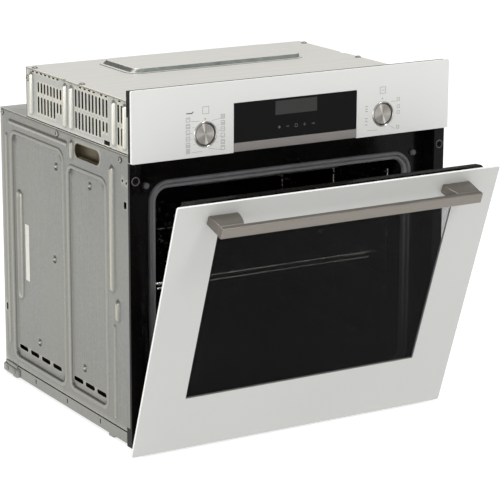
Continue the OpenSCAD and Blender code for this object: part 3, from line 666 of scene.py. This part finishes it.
def brushed(name, base, light, roughness):
    """Metal brushed lengthways."""
    f = Finish(name, base, roughness, 0.85)
    lines = f.noise(900, 3, (0.03, 1, 1))
    f.blend(lines, light, 0.0, 0.6)
    f.vary("Roughness", lines, roughness - 0.07, roughness + 0.1)
    f.bump(lines, 0.02, 0.6)
    return f.material


def spun_metal():
    """Turned knob face: fine rings round the axis, which spread each highlight into two fans."""
    f = Finish("spun_metal", colour(190, 186, 180), 0.42, 1.0, Anisotropic=1.0, Anisotropic_Rotation=0.25)
    tangent = f.add("ShaderNodeTangent", direction_type="RADIAL", axis="Y")
    f.link(tangent.outputs["Tangent"], f.shader.inputs["Tangent"])
    rings = f.add("ShaderNodeTexWave", wave_type="RINGS", rings_direction="Y")
    rings.inputs["Scale"].default_value = 500
    f.link(f.place, rings.inputs["Vector"])
    f.blend(rings.outputs["Fac"], colour(160, 156, 150), 0.0, 0.5)
    f.vary("Roughness", f.noise(300, 2), 0.38, 0.46)
    f.bump(rings.outputs["Fac"], 0.01, 0.4)
    return f.material


def chrome():
    base, patches = colour(196, 195, 192), colour(184, 182, 180)
    return mottled("bright_chrome", base, patches, (120, 3), 0.5, (200, 3), (0.04, 0.12), metallic=1.0)


def circuit_board():
    f = Finish("circuit_board", colour(24, 78, 46), 0.4, 0.0)
    f.blend(f.cells(300), colour(150, 126, 70), 0.0, 0.9, 0.93, 0.95)
    f.blend(f.noise(200, 3, (1, 0.1, 1)), colour(36, 96, 60), 0.0, 0.8)
    f.vary("Roughness", f.noise(100, 3), 0.3, 0.5)
    f.bump(f.noise(400, 2), 0.03, 0.5)
    return f.material


def ink(name, base):
    patches = scaled(base, 1.4)
    return mottled(name, base, patches, (800, 3), 0.6, (600, 2), (0.42, 0.58), Specular_IOR_Level=0.2)


def paper_label():
    base, patches = colour(226, 224, 214), colour(212, 209, 198)
    return mottled("paper_label", base, patches, (120, 4), 0.6, (200, 3), (0.54, 0.7), (1400, 3, 0.02, 0.5))


# One finish for each material slot of the record.
FINISHES = {
    "galvanised_steel": zinc_sheet("zinc_sheet", 138),
    "top_sheet": top_sheet(),
    "pocket_steel": pocket_steel(),
    "screw_steel": screw_steel(),
    "black_enamel": black_enamel(),
    "black_plastic": moulded_plastic(),
    "seal_silicone": silicone("seal_silicone", 104),
    "buffer_silicone": silicone("buffer_silicone", 92),
    "mineral_wool": mineral_wool(),
    "heater_tube": dark_metal("heater_tube", colour(78, 72, 68), 0.42),
    "bright_wire": bright_wire(),
    "motor_steel": dark_metal("motor_steel", colour(112, 112, 110), 0.44),
    "wheel_metal": dark_metal("wheel_metal", colour(176, 176, 172), 0.3, 1.0),
    "lamp_glass": lamp_glass(),
    "white_glass": white_glass("white_glass", 219),
    "display_black": black_glass("display_black", colour(9, 9, 11)),
    "clear_pane": clear_pane(),
    "door_steel": door_steel(),
    "handle_metal": brushed("handle_metal", colour(128, 123, 116), colour(140, 135, 128), 0.34),
    "trim_metal": brushed("trim_metal", colour(140, 135, 132), colour(150, 145, 142), 0.36),
    "knob_metal": spun_metal(),
    "bezel_chrome": chrome(),
    "shaft_steel": dark_metal("shaft_steel", colour(168, 166, 160), 0.3, 1.0),
    "circuit_board": circuit_board(),
}
# The third number is the share of painted highlight on the pressed bends, with painted shade in the creases.
SIDE_ZINC = zinc_sheet("side_zinc", 130, 0.42)
HOUSING_ZINC = zinc_sheet("housing_zinc", 172, 0.75)
DECK_ZINC = zinc_sheet("deck_zinc", 186, 0.0, 0.4)
# The door's white glass is the fascia's white glass given a darker colour, as painted shade for the door's
# downward-leaning face.
SHADED_DOOR_WHITE = white_glass("door_white_shaded", 195)
GLASS_EDGE = glass_edge()
# Greyer finish for the front of the duct hood's rim: painted shade on the same sheet as its pale top.
SHADED_HOOD_RIM = dark_metal("hood_rim_shaded", colour(142, 148, 144), 0.4, 0.5)
WASHER = dark_metal("dark_washer", colour(70, 68, 64), 0.5, 0.5)
WINDOW = tinted_window()
LIP_SILICONE = silicone("lip_silicone", 114)
MARK_INK = ink("mark_ink", colour(138, 138, 136))
DARK_INK = ink("dark_ink", colour(78, 78, 78))
ICON_INK = ink("icon_ink", colour(92, 92, 94))
SCREEN = black_glass("screen_glass", colour(56, 56, 54))
LABEL = paper_label()

# ---------------------------------------------------------------- sheet-metal pieces

# Gap left along a bend where two sheets meet, and the lower edge of the upright sheets.
SEAM = 1.2
SHEET_Z0 = 24
FIELD_DEPTH = -2.4
HAND_SLOT = Rect(158, 245, 446, 469, 11)


def side_place(sign):
    """Place on the left (-1) or right (+1) side sheet."""
    return lambda u, v, h: at(sign * (BODY_HALF + h), u, v)


def sunk_field(field):
    """Sunk field inside a low raised border."""
    rise = 1.0
    return Press(inset(field, -7.0), rise, 2.4), Press(field, FIELD_DEPTH - rise, 2.6)


def side_sheet(hand, sign):
    """Lower side sheet with its two sunk fields, beads, slots and dimples."""
    presses = [
        *sunk_field(Rect(292, 490, 43, 443, 15)),
        *sunk_field(Rect(139, 271, 47, 424, 13)),
        Press(Rect(107, 124, 246, 457, 8.4), 4.6, 7.6),
        Press(Rect(104, 116, 34, 196, 6), 1.8, 5.4),
        Press(Rect(90, 107, 200, 240, 8.4), 4.2, 7.6),
        Press(Rect(272, 500, 456, 467, 5.4), 2.2, 4.8),
        Press(Rect(250, 264, 438, 472, 6.8), 3.4, 6.0),
        Press(Rect(505, 515, 60, 440, 5), 1.8, 3.8),
        Press(Rect(455, 477, 150, 347, 11), 3.2, 4.4),
    ]
    # Each dimple is a sunk ring round a raised centre.
    for u, v in ((321, 415), (198, 406), (332, 253), (396, 90), (225, 90)):
        presses.append(Press(Rect(u - 8, u + 8, v - 8, v + 8, 8), -1.6, 2.6))
        presses.append(Press(Rect(u - 5, u + 5, v - 5, v + 5, 5), 4.4, 4.4))
    holes = [outline(HAND_SLOT, 8)]
    vents = [312 + 44 * i for i in range(4)] + [147 + 42 * i for i in range(3)]
    holes += [outline(Rect(u, u + 34, 59, 67, 3.9), 4) for u in vents]
    holes += [outline(Rect(66, 75, 394, 405, 0.5), 1), outline(Rect(518, 524, 118, 132, 3), 4)]
    holes += [circle(79, 438, 2.6, 14), circle(66, 436, 2.6, 14)]
    bounds = (40, BODY_D - SEAM, SHEET_Z0, DECK_Z - SEAM)
    pressed_sheet(
        "side_sheet_" + hand, bounds, presses, holes, side_place(sign),
        SIDE_ZINC, "chassis", ["side_panel_" + hand],
    )


def housing_sheet(hand, sign):
    """Upper side sheet: beads between columns of air slots, and a row of slits under the top bend."""
    beads = (398, 271, 248, 99, 62)
    presses = [Press(Rect(u, u + 13, 488, 562, 6), 4.4, 5.8) for u in beads]
    # Each block of slots: first u, pitch, count, how many lower slots are cut short and by how much,
    # then the ends of the upper and of the lower row.
    blocks = (
        (294, 11.93, 8, 2, 11, (530.5, 548.5), (495.5, 524.2)),
        (130, 12.05, 10, 2, 11.4, (529, 558.5), (493.6, 522.3)),
        (79, 11.5, 2, 0, 0, (528.5, 557.5), (492.5, 521.5)),
    )
    slots = []
    for start, pitch, count, short_count, short_by, upper, (low, high) in blocks:
        for i in range(count):
            u = start + pitch * i
            slots.append((u, *upper))
            slots.append((u, low + short_by if i < short_count else low, high))
    holes = [outline(Rect(u - 2.9, u + 2.9, low, high, 2.6), 4) for u, low, high in slots]
    holes.append(outline(Rect(120, 140, 485.2, 492.5, 0.4), 1))
    slits = [300 + 15.5 * i for i in range(7)] + [170, 186, 202, 218, 128, 144, 82]
    holes += [outline(Rect(u, u + 8.6, 562.0, 564.4, 0.3), 1) for u in slits]
    bounds = (22, HOUSING_D - SEAM, DECK_Z + 1.3, TOP_Z - SEAM)
    pressed_sheet(
        "housing_sheet_" + hand, bounds, presses, holes, side_place(sign),
        HOUSING_ZINC, "chassis", ["housing_side_" + hand], pitch=7.0,
    )


def rear_panel():
    """Back sheet with a round boss over the fan motor, two upright beads and vent slots."""
    fan_z = (side("convection_fan", LOW, Z) + side("convection_fan", HIGH, Z)) / 2
    presses = [Press(Rect(-78, 78, fan_z - 78, fan_z + 78, 78), 5.0, 7.0)]
    presses += [Press(Rect(s * 157 - 7, s * 157 + 7, 70, 430, 7), 2.8, 5.0) for s in (-1, 1)]
    fan_slots = [fan_z + 14 * i for i in range(-3, 4)]
    holes = [outline(Rect(-40, 40, v - 2.5, v + 2.5, 2.4), 4) for v in fan_slots]
    holes += [outline(Rect(22 * i - 7, 22 * i + 7, 40, 45, 2.4), 4) for i in range(-5, 6)]
    half = BODY_HALF - 0.2
    pressed_sheet(
        "rear_panel_sheet", (-half, half, SHEET_Z0, DECK_Z - SEAM), presses, holes,
        lambda u, v, h: at(u, BODY_D + h, v), SIDE_ZINC, "chassis",
        ["rear_panel"], pitch=11.0, flange=0.6,
    )


def hand_slot_rims():
    """Rolled lip round each hand slot, with short ribs along its lower edge."""
    for name, sign in (("slot_rim_left", -1), ("slot_rim_right", 1)):
        mesh = bmesh.new()
        section = 10
        lip_r = 0.6
        rings = []
        for i in range(section):
            turn = 2 * math.pi * i / section
            around = outline(inset(HAND_SLOT, lip_r * (math.cos(turn) - 0.6)), 8)
            out = lip_r * math.sin(turn) - 0.1
            rings.append([side_place(sign)(u, v, out) for u, v in around])
        ring_strip(mesh, rings, "joined")
        for i in range(13):
            u = HAND_SLOT.u0 + 10 + 5.3 * i
            low = (sign * (BODY_HALF - 9.5), u, HAND_SLOT.v0 - 0.6)
            high = (sign * (BODY_HALF - 1.5), u + 2.6, HAND_SLOT.v0 + 2.2)
            box(mesh, low, high, at, bevel=0.5)
        piece(name, mesh, [FINISHES["pocket_steel"]], "chassis")


def side_labels():
    """Blank sticker in the rear field of the left side sheet."""
    mesh = bmesh.new()
    place = side_place(-1)
    rim = outline(Rect(431, 446, 190, 290, 1), 3)
    under = FIELD_DEPTH + 0.02
    punched_plate(mesh, rim, [], under, under + 0.2, lambda u, h, v: place(u, v, h), bevel=0.05)
    piece("blank_label", mesh, [LABEL], "chassis")


def solids(node):
    """(low, high) corners in metres of each separate solid of a CAD node."""
    mesh = bmesh.new()
    mesh.from_mesh(frame["nodes"][node].data)
    bmesh.ops.remove_doubles(mesh, verts=mesh.verts[:], dist=0.00001)
    left = set(mesh.verts)
    found = []
    while left:
        group = []
        queue = [left.pop()]
        while queue:
            vert = queue.pop()
            group.append(vert.co.copy())
            for edge in vert.link_edges:
                other = edge.other_vert(vert)
                if other in left:
                    left.remove(other)
                    queue.append(other)
        low = Vector([min(co[i] for co in group) for i in range(3)])
        high = Vector([max(co[i] for co in group) for i in range(3)])
        found.append((low, high))
    mesh.free()
    return found


def screws():
    """Domed heads with a star recess on washers, one on each casing screw of the frame."""
    mesh = bmesh.new()
    steps = 24
    # (radius, height above the sheet), from the recess over the dome to the washer and the shank.
    head = [(0, 0.6), (1.5, 0.6), (1.7, 2.6), (2.9, 2.4), (3.7, 1.7), (4.0, 0.6), (5.4, 0.5), (5.6, 0.0)]
    head += [(1.9, 0.0), (1.9, -3.0), (0, -3.0)]
    star_levels = (1, 2)
    washer_level = 5
    for low, high in solids("chassis_screws"):
        size = high - low
        axis = min(range(3), key=lambda i: size[i])
        centre = (low + high) / 2
        sign = -1 if centre[axis] < 0 and axis == X else 1
        seat = (high[axis] if sign > 0 else low[axis]) - sign * 1.6 * MM
        others = [i for i in range(3) if i != axis]
        rings = []
        for level, (radius, rise) in enumerate(head):
            ring = []
            for i in range(steps):
                turn = 2 * math.pi * i / steps
                star = 0.14 * math.cos(6 * turn) if level in star_levels else 0
                reach = max(radius, 0.01) * (1 + star)
                spot = centre.copy()
                spot[axis] = seat + sign * rise * MM
                spot[others[0]] += reach * math.cos(turn) * MM
                spot[others[1]] += reach * math.sin(turn) * MM
                ring.append(spot)
            rings.append(ring)
        mesh.faces.new(ring_strip(mesh, rings[:washer_level + 1])[0])
        mesh.faces.new(ring_strip(mesh, rings[washer_level:], material=1)[-1])
    bmesh.ops.remove_doubles(mesh, verts=mesh.verts[:], dist=0.000001)
    finishes = [FINISHES["screw_steel"], WASHER]
    piece("casing_screws", mesh, finishes, "chassis", ["chassis_screws"], 40)


# ---------------------------------------------------------------- seal, buffers, knobs


def cavity_seal():
    """Round outer bead, and an inner lip that wraps into the cavity mouth, each swept round the mouth."""
    # (distance in from the outer edge, depth behind the front frame's face).
    bead = [(0.4, 0), (0.5, -2.6), (1.6, -4.7), (3.6, -5.6), (5.8, -4.9), (7.2, -3.0), (7.6, 0)]
    lip = [(7.8, -0.2), (7.9, -1.6), (10.5, -1.9), (13.0, -1.2), (14.0, 0.8), (14.2, 5.0)]
    lip += [(13.2, 5.0), (13.1, -0.2)]
    around = Rect(-SEAL_HALF, SEAL_HALF, SEAL_Z0, SEAL_Z1, 36)
    parts = (("seal_bead", bead, FINISHES["seal_silicone"]), ("seal_lip", lip, LIP_SILICONE))
    for name, section, finish in parts:
        mesh = bmesh.new()
        rings = []
        for offset, depth in section:
            loop = outline(inset(around, offset), 14)
            rings.append([at(x, SEAL_REAR + depth, z) for x, z in loop])
        ring_strip(mesh, rings, "joined")
        piece(name, mesh, [finish], "chassis", ["cavity_seal"], sharp_deg=60)


def turned(node, profile, body, slot, name, steps=64):
    """The same turned shape at both outer ends of a node with a left and a right solid."""
    far = side(node, HIGH, X)
    z = (side(node, LOW, Z) + side(node, HIGH, Z)) / 2
    widest = max(radius for radius, _ in profile)
    mesh = bmesh.new()
    for sign in (-1, 1):
        lathe(mesh, profile, lambda x, d, dz, s=sign: at(s * (far - widest) + x, d, z + dz), steps)
    piece(name, mesh, [FINISHES[slot]], body, [node], sharp_deg=45)


def knob(name, sign, body):
    """Turned knob: chamfered rim, finely grooved face, and a bored hub for its spindle."""
    mesh = bmesh.new()
    back = side(name, HIGH, Y) - FRONT_Y
    face = side(name, LOW, Y) - FRONT_Y
    bore = 3.05
    hub = 7.0
    skirt = 14
    dish = 0.45
    grooves = 15
    profile = [(0, face + dish)]
    for i in range(1, grooves * 2):
        radius = i * (KNOB_R - 2.8) / (grooves * 2)
        groove = 0.03 if i % 2 else 0
        profile.append((radius, face + dish - 0.1 * (radius / KNOB_R) ** 2 + groove))
    profile += [(KNOB_R - 2.6, face), (KNOB_R - 2.2, face), (KNOB_R - 1.2, face + 0.9)]
    profile += [(KNOB_R - 0.9, face + 3), (KNOB_R, face + 7), (KNOB_R, skirt - 0.4), (KNOB_R - 0.4, skirt)]
    profile += [(hub, skirt), (hub, back), (bore, back), (bore, 3.6), (0, 3.6)]
    lathe(mesh, profile, lambda x, d, z: Vector((x, d, z)) * MM, 72)
    made = piece(name + "_turned", mesh, [FINISHES["knob_metal"]], body, [name], sharp_deg=50)
    made.parent = None
    made.location = at(sign * KNOB_X, 0, KNOB_Z)
    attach(made, body)


def knobs_and_rings():
    """Both knobs in their domed chrome rings."""
    ring = [(18.3, 8), (18.3, -0.5), (18.6, -1.1), (19.2, -1.5), (19.9, -1.35), (20.5, -0.8), (20.8, 0)]
    ring += [(19.5, 0.02), (19.5, 8)]
    turned("knob_bezels", ring, "chassis", "bezel_chrome", "knob_rings", 96)
    knob("knob_left", -1, "left_knob")
    knob("knob_right", 1, "right_knob")


def buffers_and_grommets():
    """Soft door stops and the rings of the cabinet fixing holes."""
    front = side("door_buffers", LOW, Y) - FRONT_Y
    stop = [(0, front), (3.2, front + 0.1), (4.6, front + 0.8), (5.3, front + 2), (5.5, front + 6)]
    stop += [(1.9, front + 6), (1.9, front + 8.6), (1.2, front + 9), (0, front + 9)]
    turned("door_buffers", stop, "chassis", "buffer_silicone", "door_stops", 32)
    face = side("fixing_grommets", LOW, Y) - FRONT_Y
    # A thin web closes the bush until the cabinet screw goes through it.
    bush = [(0, face + 3.8), (2.8, face + 3.6), (2.8, face + 1.0), (5.3, face + 0.8), (7.0, face + 0.9)]
    bush += [(7.0, face + 1.5), (4.9, face + 1.5), (4.9, face + 4.5), (0, face + 4.5)]
    turned("fixing_grommets", bush, "chassis", "black_plastic", "grommet_bushes", 40)
    lip = [(5.7, face + 0.85), (5.8, face + 0.2), (6.3, face), (6.9, face + 0.3), (7, face + 0.85)]
    turned("fixing_grommets", lip, "chassis", "buffer_silicone", "grommet_lips", 40)


# ---------------------------------------------------------------- door

GLASS = 4.0
DOOR_GLASS = Rect(-FRONT_HALF, FRONT_HALF, 10, 473.5, 3)
DOOR_WINDOW = Rect(-218, 218, 110.5, 422, 0.5)
HANDLE_Z = 446
POST_SCREW_X = 215


def door_glass():
    """Outer glass: the white-printed border, and the smoked window that it leaves clear."""
    window = outline(DOOR_WINDOW, 1)
    pins = [circle(s * POST_SCREW_X, HANDLE_Z, 3) for s in (-1, 1)]
    border = bmesh.new()
    rim = outline(DOOR_GLASS, 5)
    punched_plate(border, rim, [window, *pins], 0, GLASS, on_door, bevel=0.6, edge_material=1)
    finishes = [SHADED_DOOR_WHITE, GLASS_EDGE]
    piece("door_glass_border", border, finishes, "door", ["door_outer_glass"], 50, True)
    pane = bmesh.new()
    rim = outline(inset(DOOR_WINDOW, 0.05), 1)
    punched_plate(pane, rim, [], 0.05, GLASS - 0.1, on_door, bevel=0.1)
    piece("door_glass_window", pane, [WINDOW], "door", ["door_outer_glass"], 50, True)


def fascia_glass():
    """White glass round the controls, notched from below for the display and its strip."""
    steps = 5
    rim = outline(Rect(-FRONT_HALF, FRONT_HALF, FASCIA_Z0, FASCIA_Z1, 2.5), steps)
    notch_half = side("display_glass", HIGH, X) + 0.3
    notch_top = side("display_glass", HIGH, Z) + 0.3
    notch = [(-notch_half, FASCIA_Z0), (-notch_half, notch_top)]
    notch += [(notch_half, notch_top), (notch_half, FASCIA_Z0)]
    after_left_corners = 3 * (steps + 1)
    rim[after_left_corners:after_left_corners] = notch
    holes = [circle(s * KNOB_X, KNOB_Z, 19.6, 64) for s in (-1, 1)]
    mesh = bmesh.new()
    punched_plate(mesh, rim, holes, 0, GLASS, at, bevel=0.6, edge_material=1)
    finishes = [FINISHES["white_glass"], GLASS_EDGE]
    piece("fascia_glass", mesh, finishes, "chassis", ["fascia_panel"], 50, True)


def duct_hood():
    """Raised cover on the top sheet, with a steep rim and a flat flange; the rim is the same sheet as the
    pale top, given darker finishes as painted shade.
    """
    corners = [(side("duct_cover", end, X), side("duct_cover", end, Y) - FRONT_Y) for end in (LOW, HIGH)]
    (left, near), (right, far) = corners
    height = side("duct_cover", HIGH, Z) - TOP_Z
    # (distance in from the outer edge, height above the top sheet).
    profile = [(0, 0), (0, 0.8), (4.6, 0.8), (5.0, 1.2)]
    profile += [(6.0, height - 1.0), (6.6, height - 0.3), (7.8, height)]
    mesh = bmesh.new()
    rings = []
    for by, rise in profile:
        lean = 8 * rise / height
        around = Rect(left + by + lean, right - by, near + by, far - by, 24 - by)
        rings.append([at(x, depth, TOP_Z + rise) for x, depth in outline(around, 8)])
    ring_strip(mesh, rings, "capped")
    bmesh.ops.recalc_face_normals(mesh, faces=mesh.faces[:])
    # Painted shade: the hood's steep faces get darker finishes than its pale top, and the front-facing ones
    # get the greyer rim finish.
    for face in mesh.faces:
        if face.normal.z < 0.85:
            face.material_index = 1 if face.normal.y < -0.5 else 2
    finishes = [FINISHES["top_sheet"], SHADED_HOOD_RIM, FINISHES["galvanised_steel"]]
    piece("duct_hood", mesh, finishes, "chassis", ["duct_cover"], 50, True)


def rear_feet():
    """Rolled clips round the lower rear corners of the casing."""
    mesh = bmesh.new()
    for sign in (-1, 1):
        out = sign * (BODY_HALF + 4)
        within = sign * (BODY_HALF - 6)
        box(mesh, (within, BODY_D - 58, 3), (out, BODY_D + 3, 19), at, bevel=3.6)
        box(mesh, (within, BODY_D - 50, 17), (out - sign * 2, BODY_D - 8, 25), at, bevel=1.6)
        for depth in (BODY_D - 44, BODY_D - 14):
            box(mesh, (out - sign, depth - 4, 8), (out + sign * 1.2, depth + 4, 15), at, bevel=1.0)
    piece("rear_clips", mesh, [FINISHES["galvanised_steel"]], "chassis")


def handle_posts():
    """Tapered feet that carry the bar, with a hollowed inner face and pins through the glass."""
    mesh = bmesh.new()
    # (depth, inner x, outer x, half height), from the glass to the bar.
    sections = [(0.0, 189.0, 241.5, 7.6), (-8.0, 189.6, 241.2, 7.9)]
    sections += [(-20.0, 192.0, 240.4, 8.3), (-33.0, 197.0, 239.5, 8.6)]
    for sign in (-1, 1):
        solid = bmesh.new()
        rings = []
        for depth, inner, outer, half in sections:
            corners = [(inner, -half), (outer, -half), (outer, half), (inner, half)]
            rings.append([on_door(sign * x, depth, HANDLE_Z + dz) for x, dz in corners])
        ring_strip(solid, rings, "capped")
        bmesh.ops.recalc_face_normals(solid, faces=solid.faces[:])
        round_edges(solid, 1.3, 3, 40)
        append(mesh, solid)
        pin = [(0, -0.5), (2.6, -0.5), (2.6, 4), (0, 4)]
        lathe(mesh, pin, lambda x, d, z, s=sign: on_door(s * POST_SCREW_X + x, d, HANDLE_Z + z), 20)
    piece("handle_feet", mesh, [FINISHES["handle_metal"]], "door", ["handle_posts"], 60, True)


# ---------------------------------------------------------------- marks on the front

MARK_NEAR = -0.06
MARK_FAR = 0.04


def stroke(mesh, points, width):
    """Printed line through points (x, z) on the front face."""
    for (x0, z0), (x1, z1) in zip(points, points[1:]):
        length = math.hypot(x1 - x0, z1 - z0)
        along = ((x1 - x0) / length * width / 2, (z1 - z0) / length * width / 2)
        aside = (-along[1], along[0])
        rim = [
            (x0 - along[0] + aside[0], z0 - along[1] + aside[1]),
            (x0 - along[0] - aside[0], z0 - along[1] - aside[1]),
            (x1 + along[0] - aside[0], z1 + along[1] - aside[1]),
            (x1 + along[0] + aside[0], z1 + along[1] + aside[1]),
        ]
        front_plate(mesh, rim)


def front_plate(mesh, rim):
    """Thin raised shape with that rim on the front face."""
    ring_strip(mesh, [[at(x, depth, z) for x, z in rim] for depth in (MARK_NEAR, MARK_FAR)], "capped")


def square_icon(mesh, x, z, size, bars, line=0.7):
    """Square outline with bars at the given shares of its height."""
    half = size / 2
    corners = [(x - half, z - half), (x + half, z - half), (x + half, z + half), (x - half, z + half)]
    stroke(mesh, corners + corners[:1], line)
    for share in bars:
        level = z - half + size * share
        stroke(mesh, [(x - half * 0.6, level), (x + half * 0.6, level)], line)


def fascia_marks():
    """Generic heating symbols and leader lines round both knobs."""
    mesh = bmesh.new()
    rows = (541, 530.7, 520.9, 511, 500.7, 491.2)
    bars = ((0.75,), (0.25, 0.75), (0.25,), (0.5,), (0.3, 0.55), (0.25, 0.5, 0.75))
    for x, order in ((-197.6, 1), (-135.2, -1)):
        for z, inside in zip(rows, bars[::order]):
            square_icon(mesh, x, z, 6.4, inside)
    square_icon(mesh, -166, 553.5, 11, ())
    square_icon(mesh, 165.5, 555, 10.5, (0.5,))
    for x, z in ((-167, 540), (165, 541.2)):
        front_plate(mesh, circle(x, z, 1.2, 12))
    for z in (530.8, 526.5, 522.5, 510.9, 506.3, 500.3):
        stroke(mesh, [(132.6, z), (135.8, z)], 1.2)
    for z in (537.5, 525.6, 516, 491.4):
        square_icon(mesh, 196.4, z, 4.6, ())
    leaders = [
        ((-192.5, 538), (-177, 537)), ((-191, 488.7), (-173, 489)), ((-139.9, 538.1), (-155, 536.2)),
        ((-138.6, 488.5), (-161, 492.8)), ((192.3, 534.3), (181.8, 534.9)), ((190.5, 489.1), (179, 494.7)),
        ((136, 490.8), (157, 490)),
    ]
    for line in leaders:
        stroke(mesh, line, 0.5)
    for sign in (-1, 1):
        for z in (528, 519, 510, 501):
            reach = math.sqrt(23.5 ** 2 - (z - KNOB_Z) ** 2)
            stroke(mesh, [(-KNOB_X + sign * (reach + 3), z), (-KNOB_X + sign * reach, z)], 0.5)
    piece("fascia_marks", mesh, [MARK_INK], "chassis", sharp_deg=20)
    hook = bmesh.new()
    stroke(hook, [(-200, 550.8), (-190.5, 550.8), (-188.6, 552.6)], 1.5)
    piece("selector_mark", hook, [DARK_INK], "chassis", sharp_deg=20)


def display_marks():
    """Screen window and the five touch symbols."""
    screen = bmesh.new()
    front_plate(screen, outline(Rect(-39, 39, 533.5, 556, 0.6), 2))
    piece("screen_window", screen, [SCREEN], "chassis", sharp_deg=20)
    mesh = bmesh.new()
    z = 513.5
    pitch = 15.8
    front_plate(mesh, circle(-2 * pitch, z, 2.1, 16))
    stroke(mesh, [(-pitch - 2, z), (-pitch + 2, z)], 1.0)
    square_icon(mesh, 0, z, 4.6, (), 0.8)
    stroke(mesh, [(pitch - 2, z), (pitch + 2, z)], 0.9)
    stroke(mesh, [(pitch, z - 2), (pitch, z + 2)], 0.9)
    stroke(mesh, [(2 * pitch - 2.2, z), (2 * pitch + 1, z)], 0.9)
    front_plate(mesh, circle(2 * pitch + 1.7, z, 1.3, 12))
    piece("touch_marks", mesh, [ICON_INK], "chassis", sharp_deg=20)


# ---------------------------------------------------------------- CAD nodes that stay


def dress_cad_nodes():
    """Gives every CAD node the finish of its slot, and small rounded edges."""
    rounding = {"handle_bar": 1.3, "top_cover": 0.4, "base_tray": 0.5}
    for name, node in frame["nodes"].items():
        for holder in node.material_slots:
            slot = holder.material.name.split(".")[0]
            holder.material = DECK_ZINC if name == "deck_plate" else FINISHES[slot]
        if node.hide_render:
            continue
        weld = node.modifiers.new("weld", "WELD")
        weld.merge_threshold = 0.00001
        flat = node.modifiers.new("flat_faces", "DECIMATE")
        flat.decimate_type = "DISSOLVE"
        flat.angle_limit = math.radians(0.5)
        edge = node.modifiers.new("edges", "BEVEL")
        edge.width = rounding.get(name, 0.25) * MM
        edge.segments = 2
        edge.limit_method = "ANGLE"
        edge.angle_limit = math.radians(40)
        normals = node.modifiers.new("normals", "WEIGHTED_NORMAL")
        normals.keep_sharp = False
        normals.weight = 80


# ---------------------------------------------------------------- stage


def floor():
    """Large pale floor that glows a little, so that it stays white behind the oven."""
    mesh = bmesh.new()
    bmesh.ops.create_grid(mesh, x_segments=8, y_segments=8, size=40)
    data = bpy.data.meshes.new("floor")
    mesh.to_mesh(data)
    mesh.free()
    finish = Finish("floor_white", colour(176, 176, 176), 0.9, 0.0, Emission_Strength=0.75)
    finish.shader.inputs["Emission Color"].default_value = (1, 1, 1, 1)
    finish.vary("Roughness", finish.noise(2, 2), 0.85, 0.95)
    data.materials.append(finish.material)
    placed("floor", data)


def area_light(name, spot, target, size, power):
    """Square soft light in metres, aimed at target."""
    data = bpy.data.lights.new(name, "AREA")
    data.size = size
    data.energy = power
    made = placed(name, data)
    made.location = spot
    made.rotation_euler = (Vector(target) - Vector(spot)).to_track_quat("-Z", "Y").to_euler()


def sky():
    """Studio surroundings: bright in front and low down, darker overhead, behind and to the left."""
    world = bpy.data.worlds.new("studio")
    bpy.context.scene.world = world
    world.use_nodes = True
    tree = world.node_tree
    coords = tree.nodes.new("ShaderNodeTexCoord")
    split = tree.nodes.new("ShaderNodeSeparateXYZ")
    tree.links.new(coords.outputs["Generated"], split.inputs["Vector"])
    strength = None
    for axis, start, end, near, far in (("Y", -0.9, 0.5, 0.78, 0.4), ("Z", 0.1, 0.95, 1.0, 0.7)):
        fade = tree.nodes.new("ShaderNodeMapRange")
        fade.interpolation_type = "SMOOTHSTEP"
        fade.inputs["From Min"].default_value = start
        fade.inputs["From Max"].default_value = end
        fade.inputs["To Min"].default_value = near
        fade.inputs["To Max"].default_value = far
        tree.links.new(split.outputs[axis], fade.inputs["Value"])
        if strength is None:
            strength = fade.outputs["Result"]
        else:
            product = tree.nodes.new("ShaderNodeMath")
            product.operation = "MULTIPLY"
            tree.links.new(strength, product.inputs[0])
            tree.links.new(fade.outputs["Result"], product.inputs[1])
            strength = product.outputs["Value"]
    background = tree.nodes["Background"]
    background.inputs["Color"].default_value = (1.0, 0.995, 0.985, 1)
    tree.links.new(strength, background.inputs["Strength"])


def camera():
    """Long lens, from the front left and a little above."""
    yaw = math.radians(30.971)
    pitch = math.radians(-14.466)
    roll = math.radians(0.2323)
    forward = Vector((math.sin(yaw) * math.cos(pitch), math.cos(yaw) * math.cos(pitch), math.sin(pitch)))
    flat_right = Vector((math.cos(yaw), -math.sin(yaw), 0))
    flat_up = flat_right.cross(forward)
    right = flat_right * math.cos(roll) + flat_up * math.sin(roll)
    up = flat_up * math.cos(roll) - flat_right * math.sin(roll)
    data = bpy.data.cameras.new("camera")
    data.lens = 160.74
    data.sensor_width = 36
    made = placed("camera", data)
    turn = Matrix((right, up, -forward)).transposed()
    made.matrix_world = Matrix.Translation((-1.85833, -3.24388, 1.20826)) @ turn.to_4x4()
    bpy.context.scene.camera = made


def stage():
    floor()
    sky()
    middle = (0, 0, 0.3)
    area_light("key", (2.3, -5.4, 6.8), middle, 2.2, 240)
    area_light("overhead", (-0.6, 1.6, 6.0), middle, 3.0, 160)
    area_light("left_box", (-3.4, -1.1, 1.0), middle, 1.6, 26)
    camera()
    bpy.context.scene.view_settings.view_transform = "Standard"


for make_sheet in (side_sheet, housing_sheet):
    make_sheet("left", -1)
    make_sheet("right", 1)
rear_panel()
hand_slot_rims()
side_labels()
screws()
cavity_seal()
knobs_and_rings()
buffers_and_grommets()
door_glass()
fascia_glass()
duct_hood()
rear_feet()
handle_posts()
fascia_marks()
display_marks()
dress_cad_nodes()
stage()
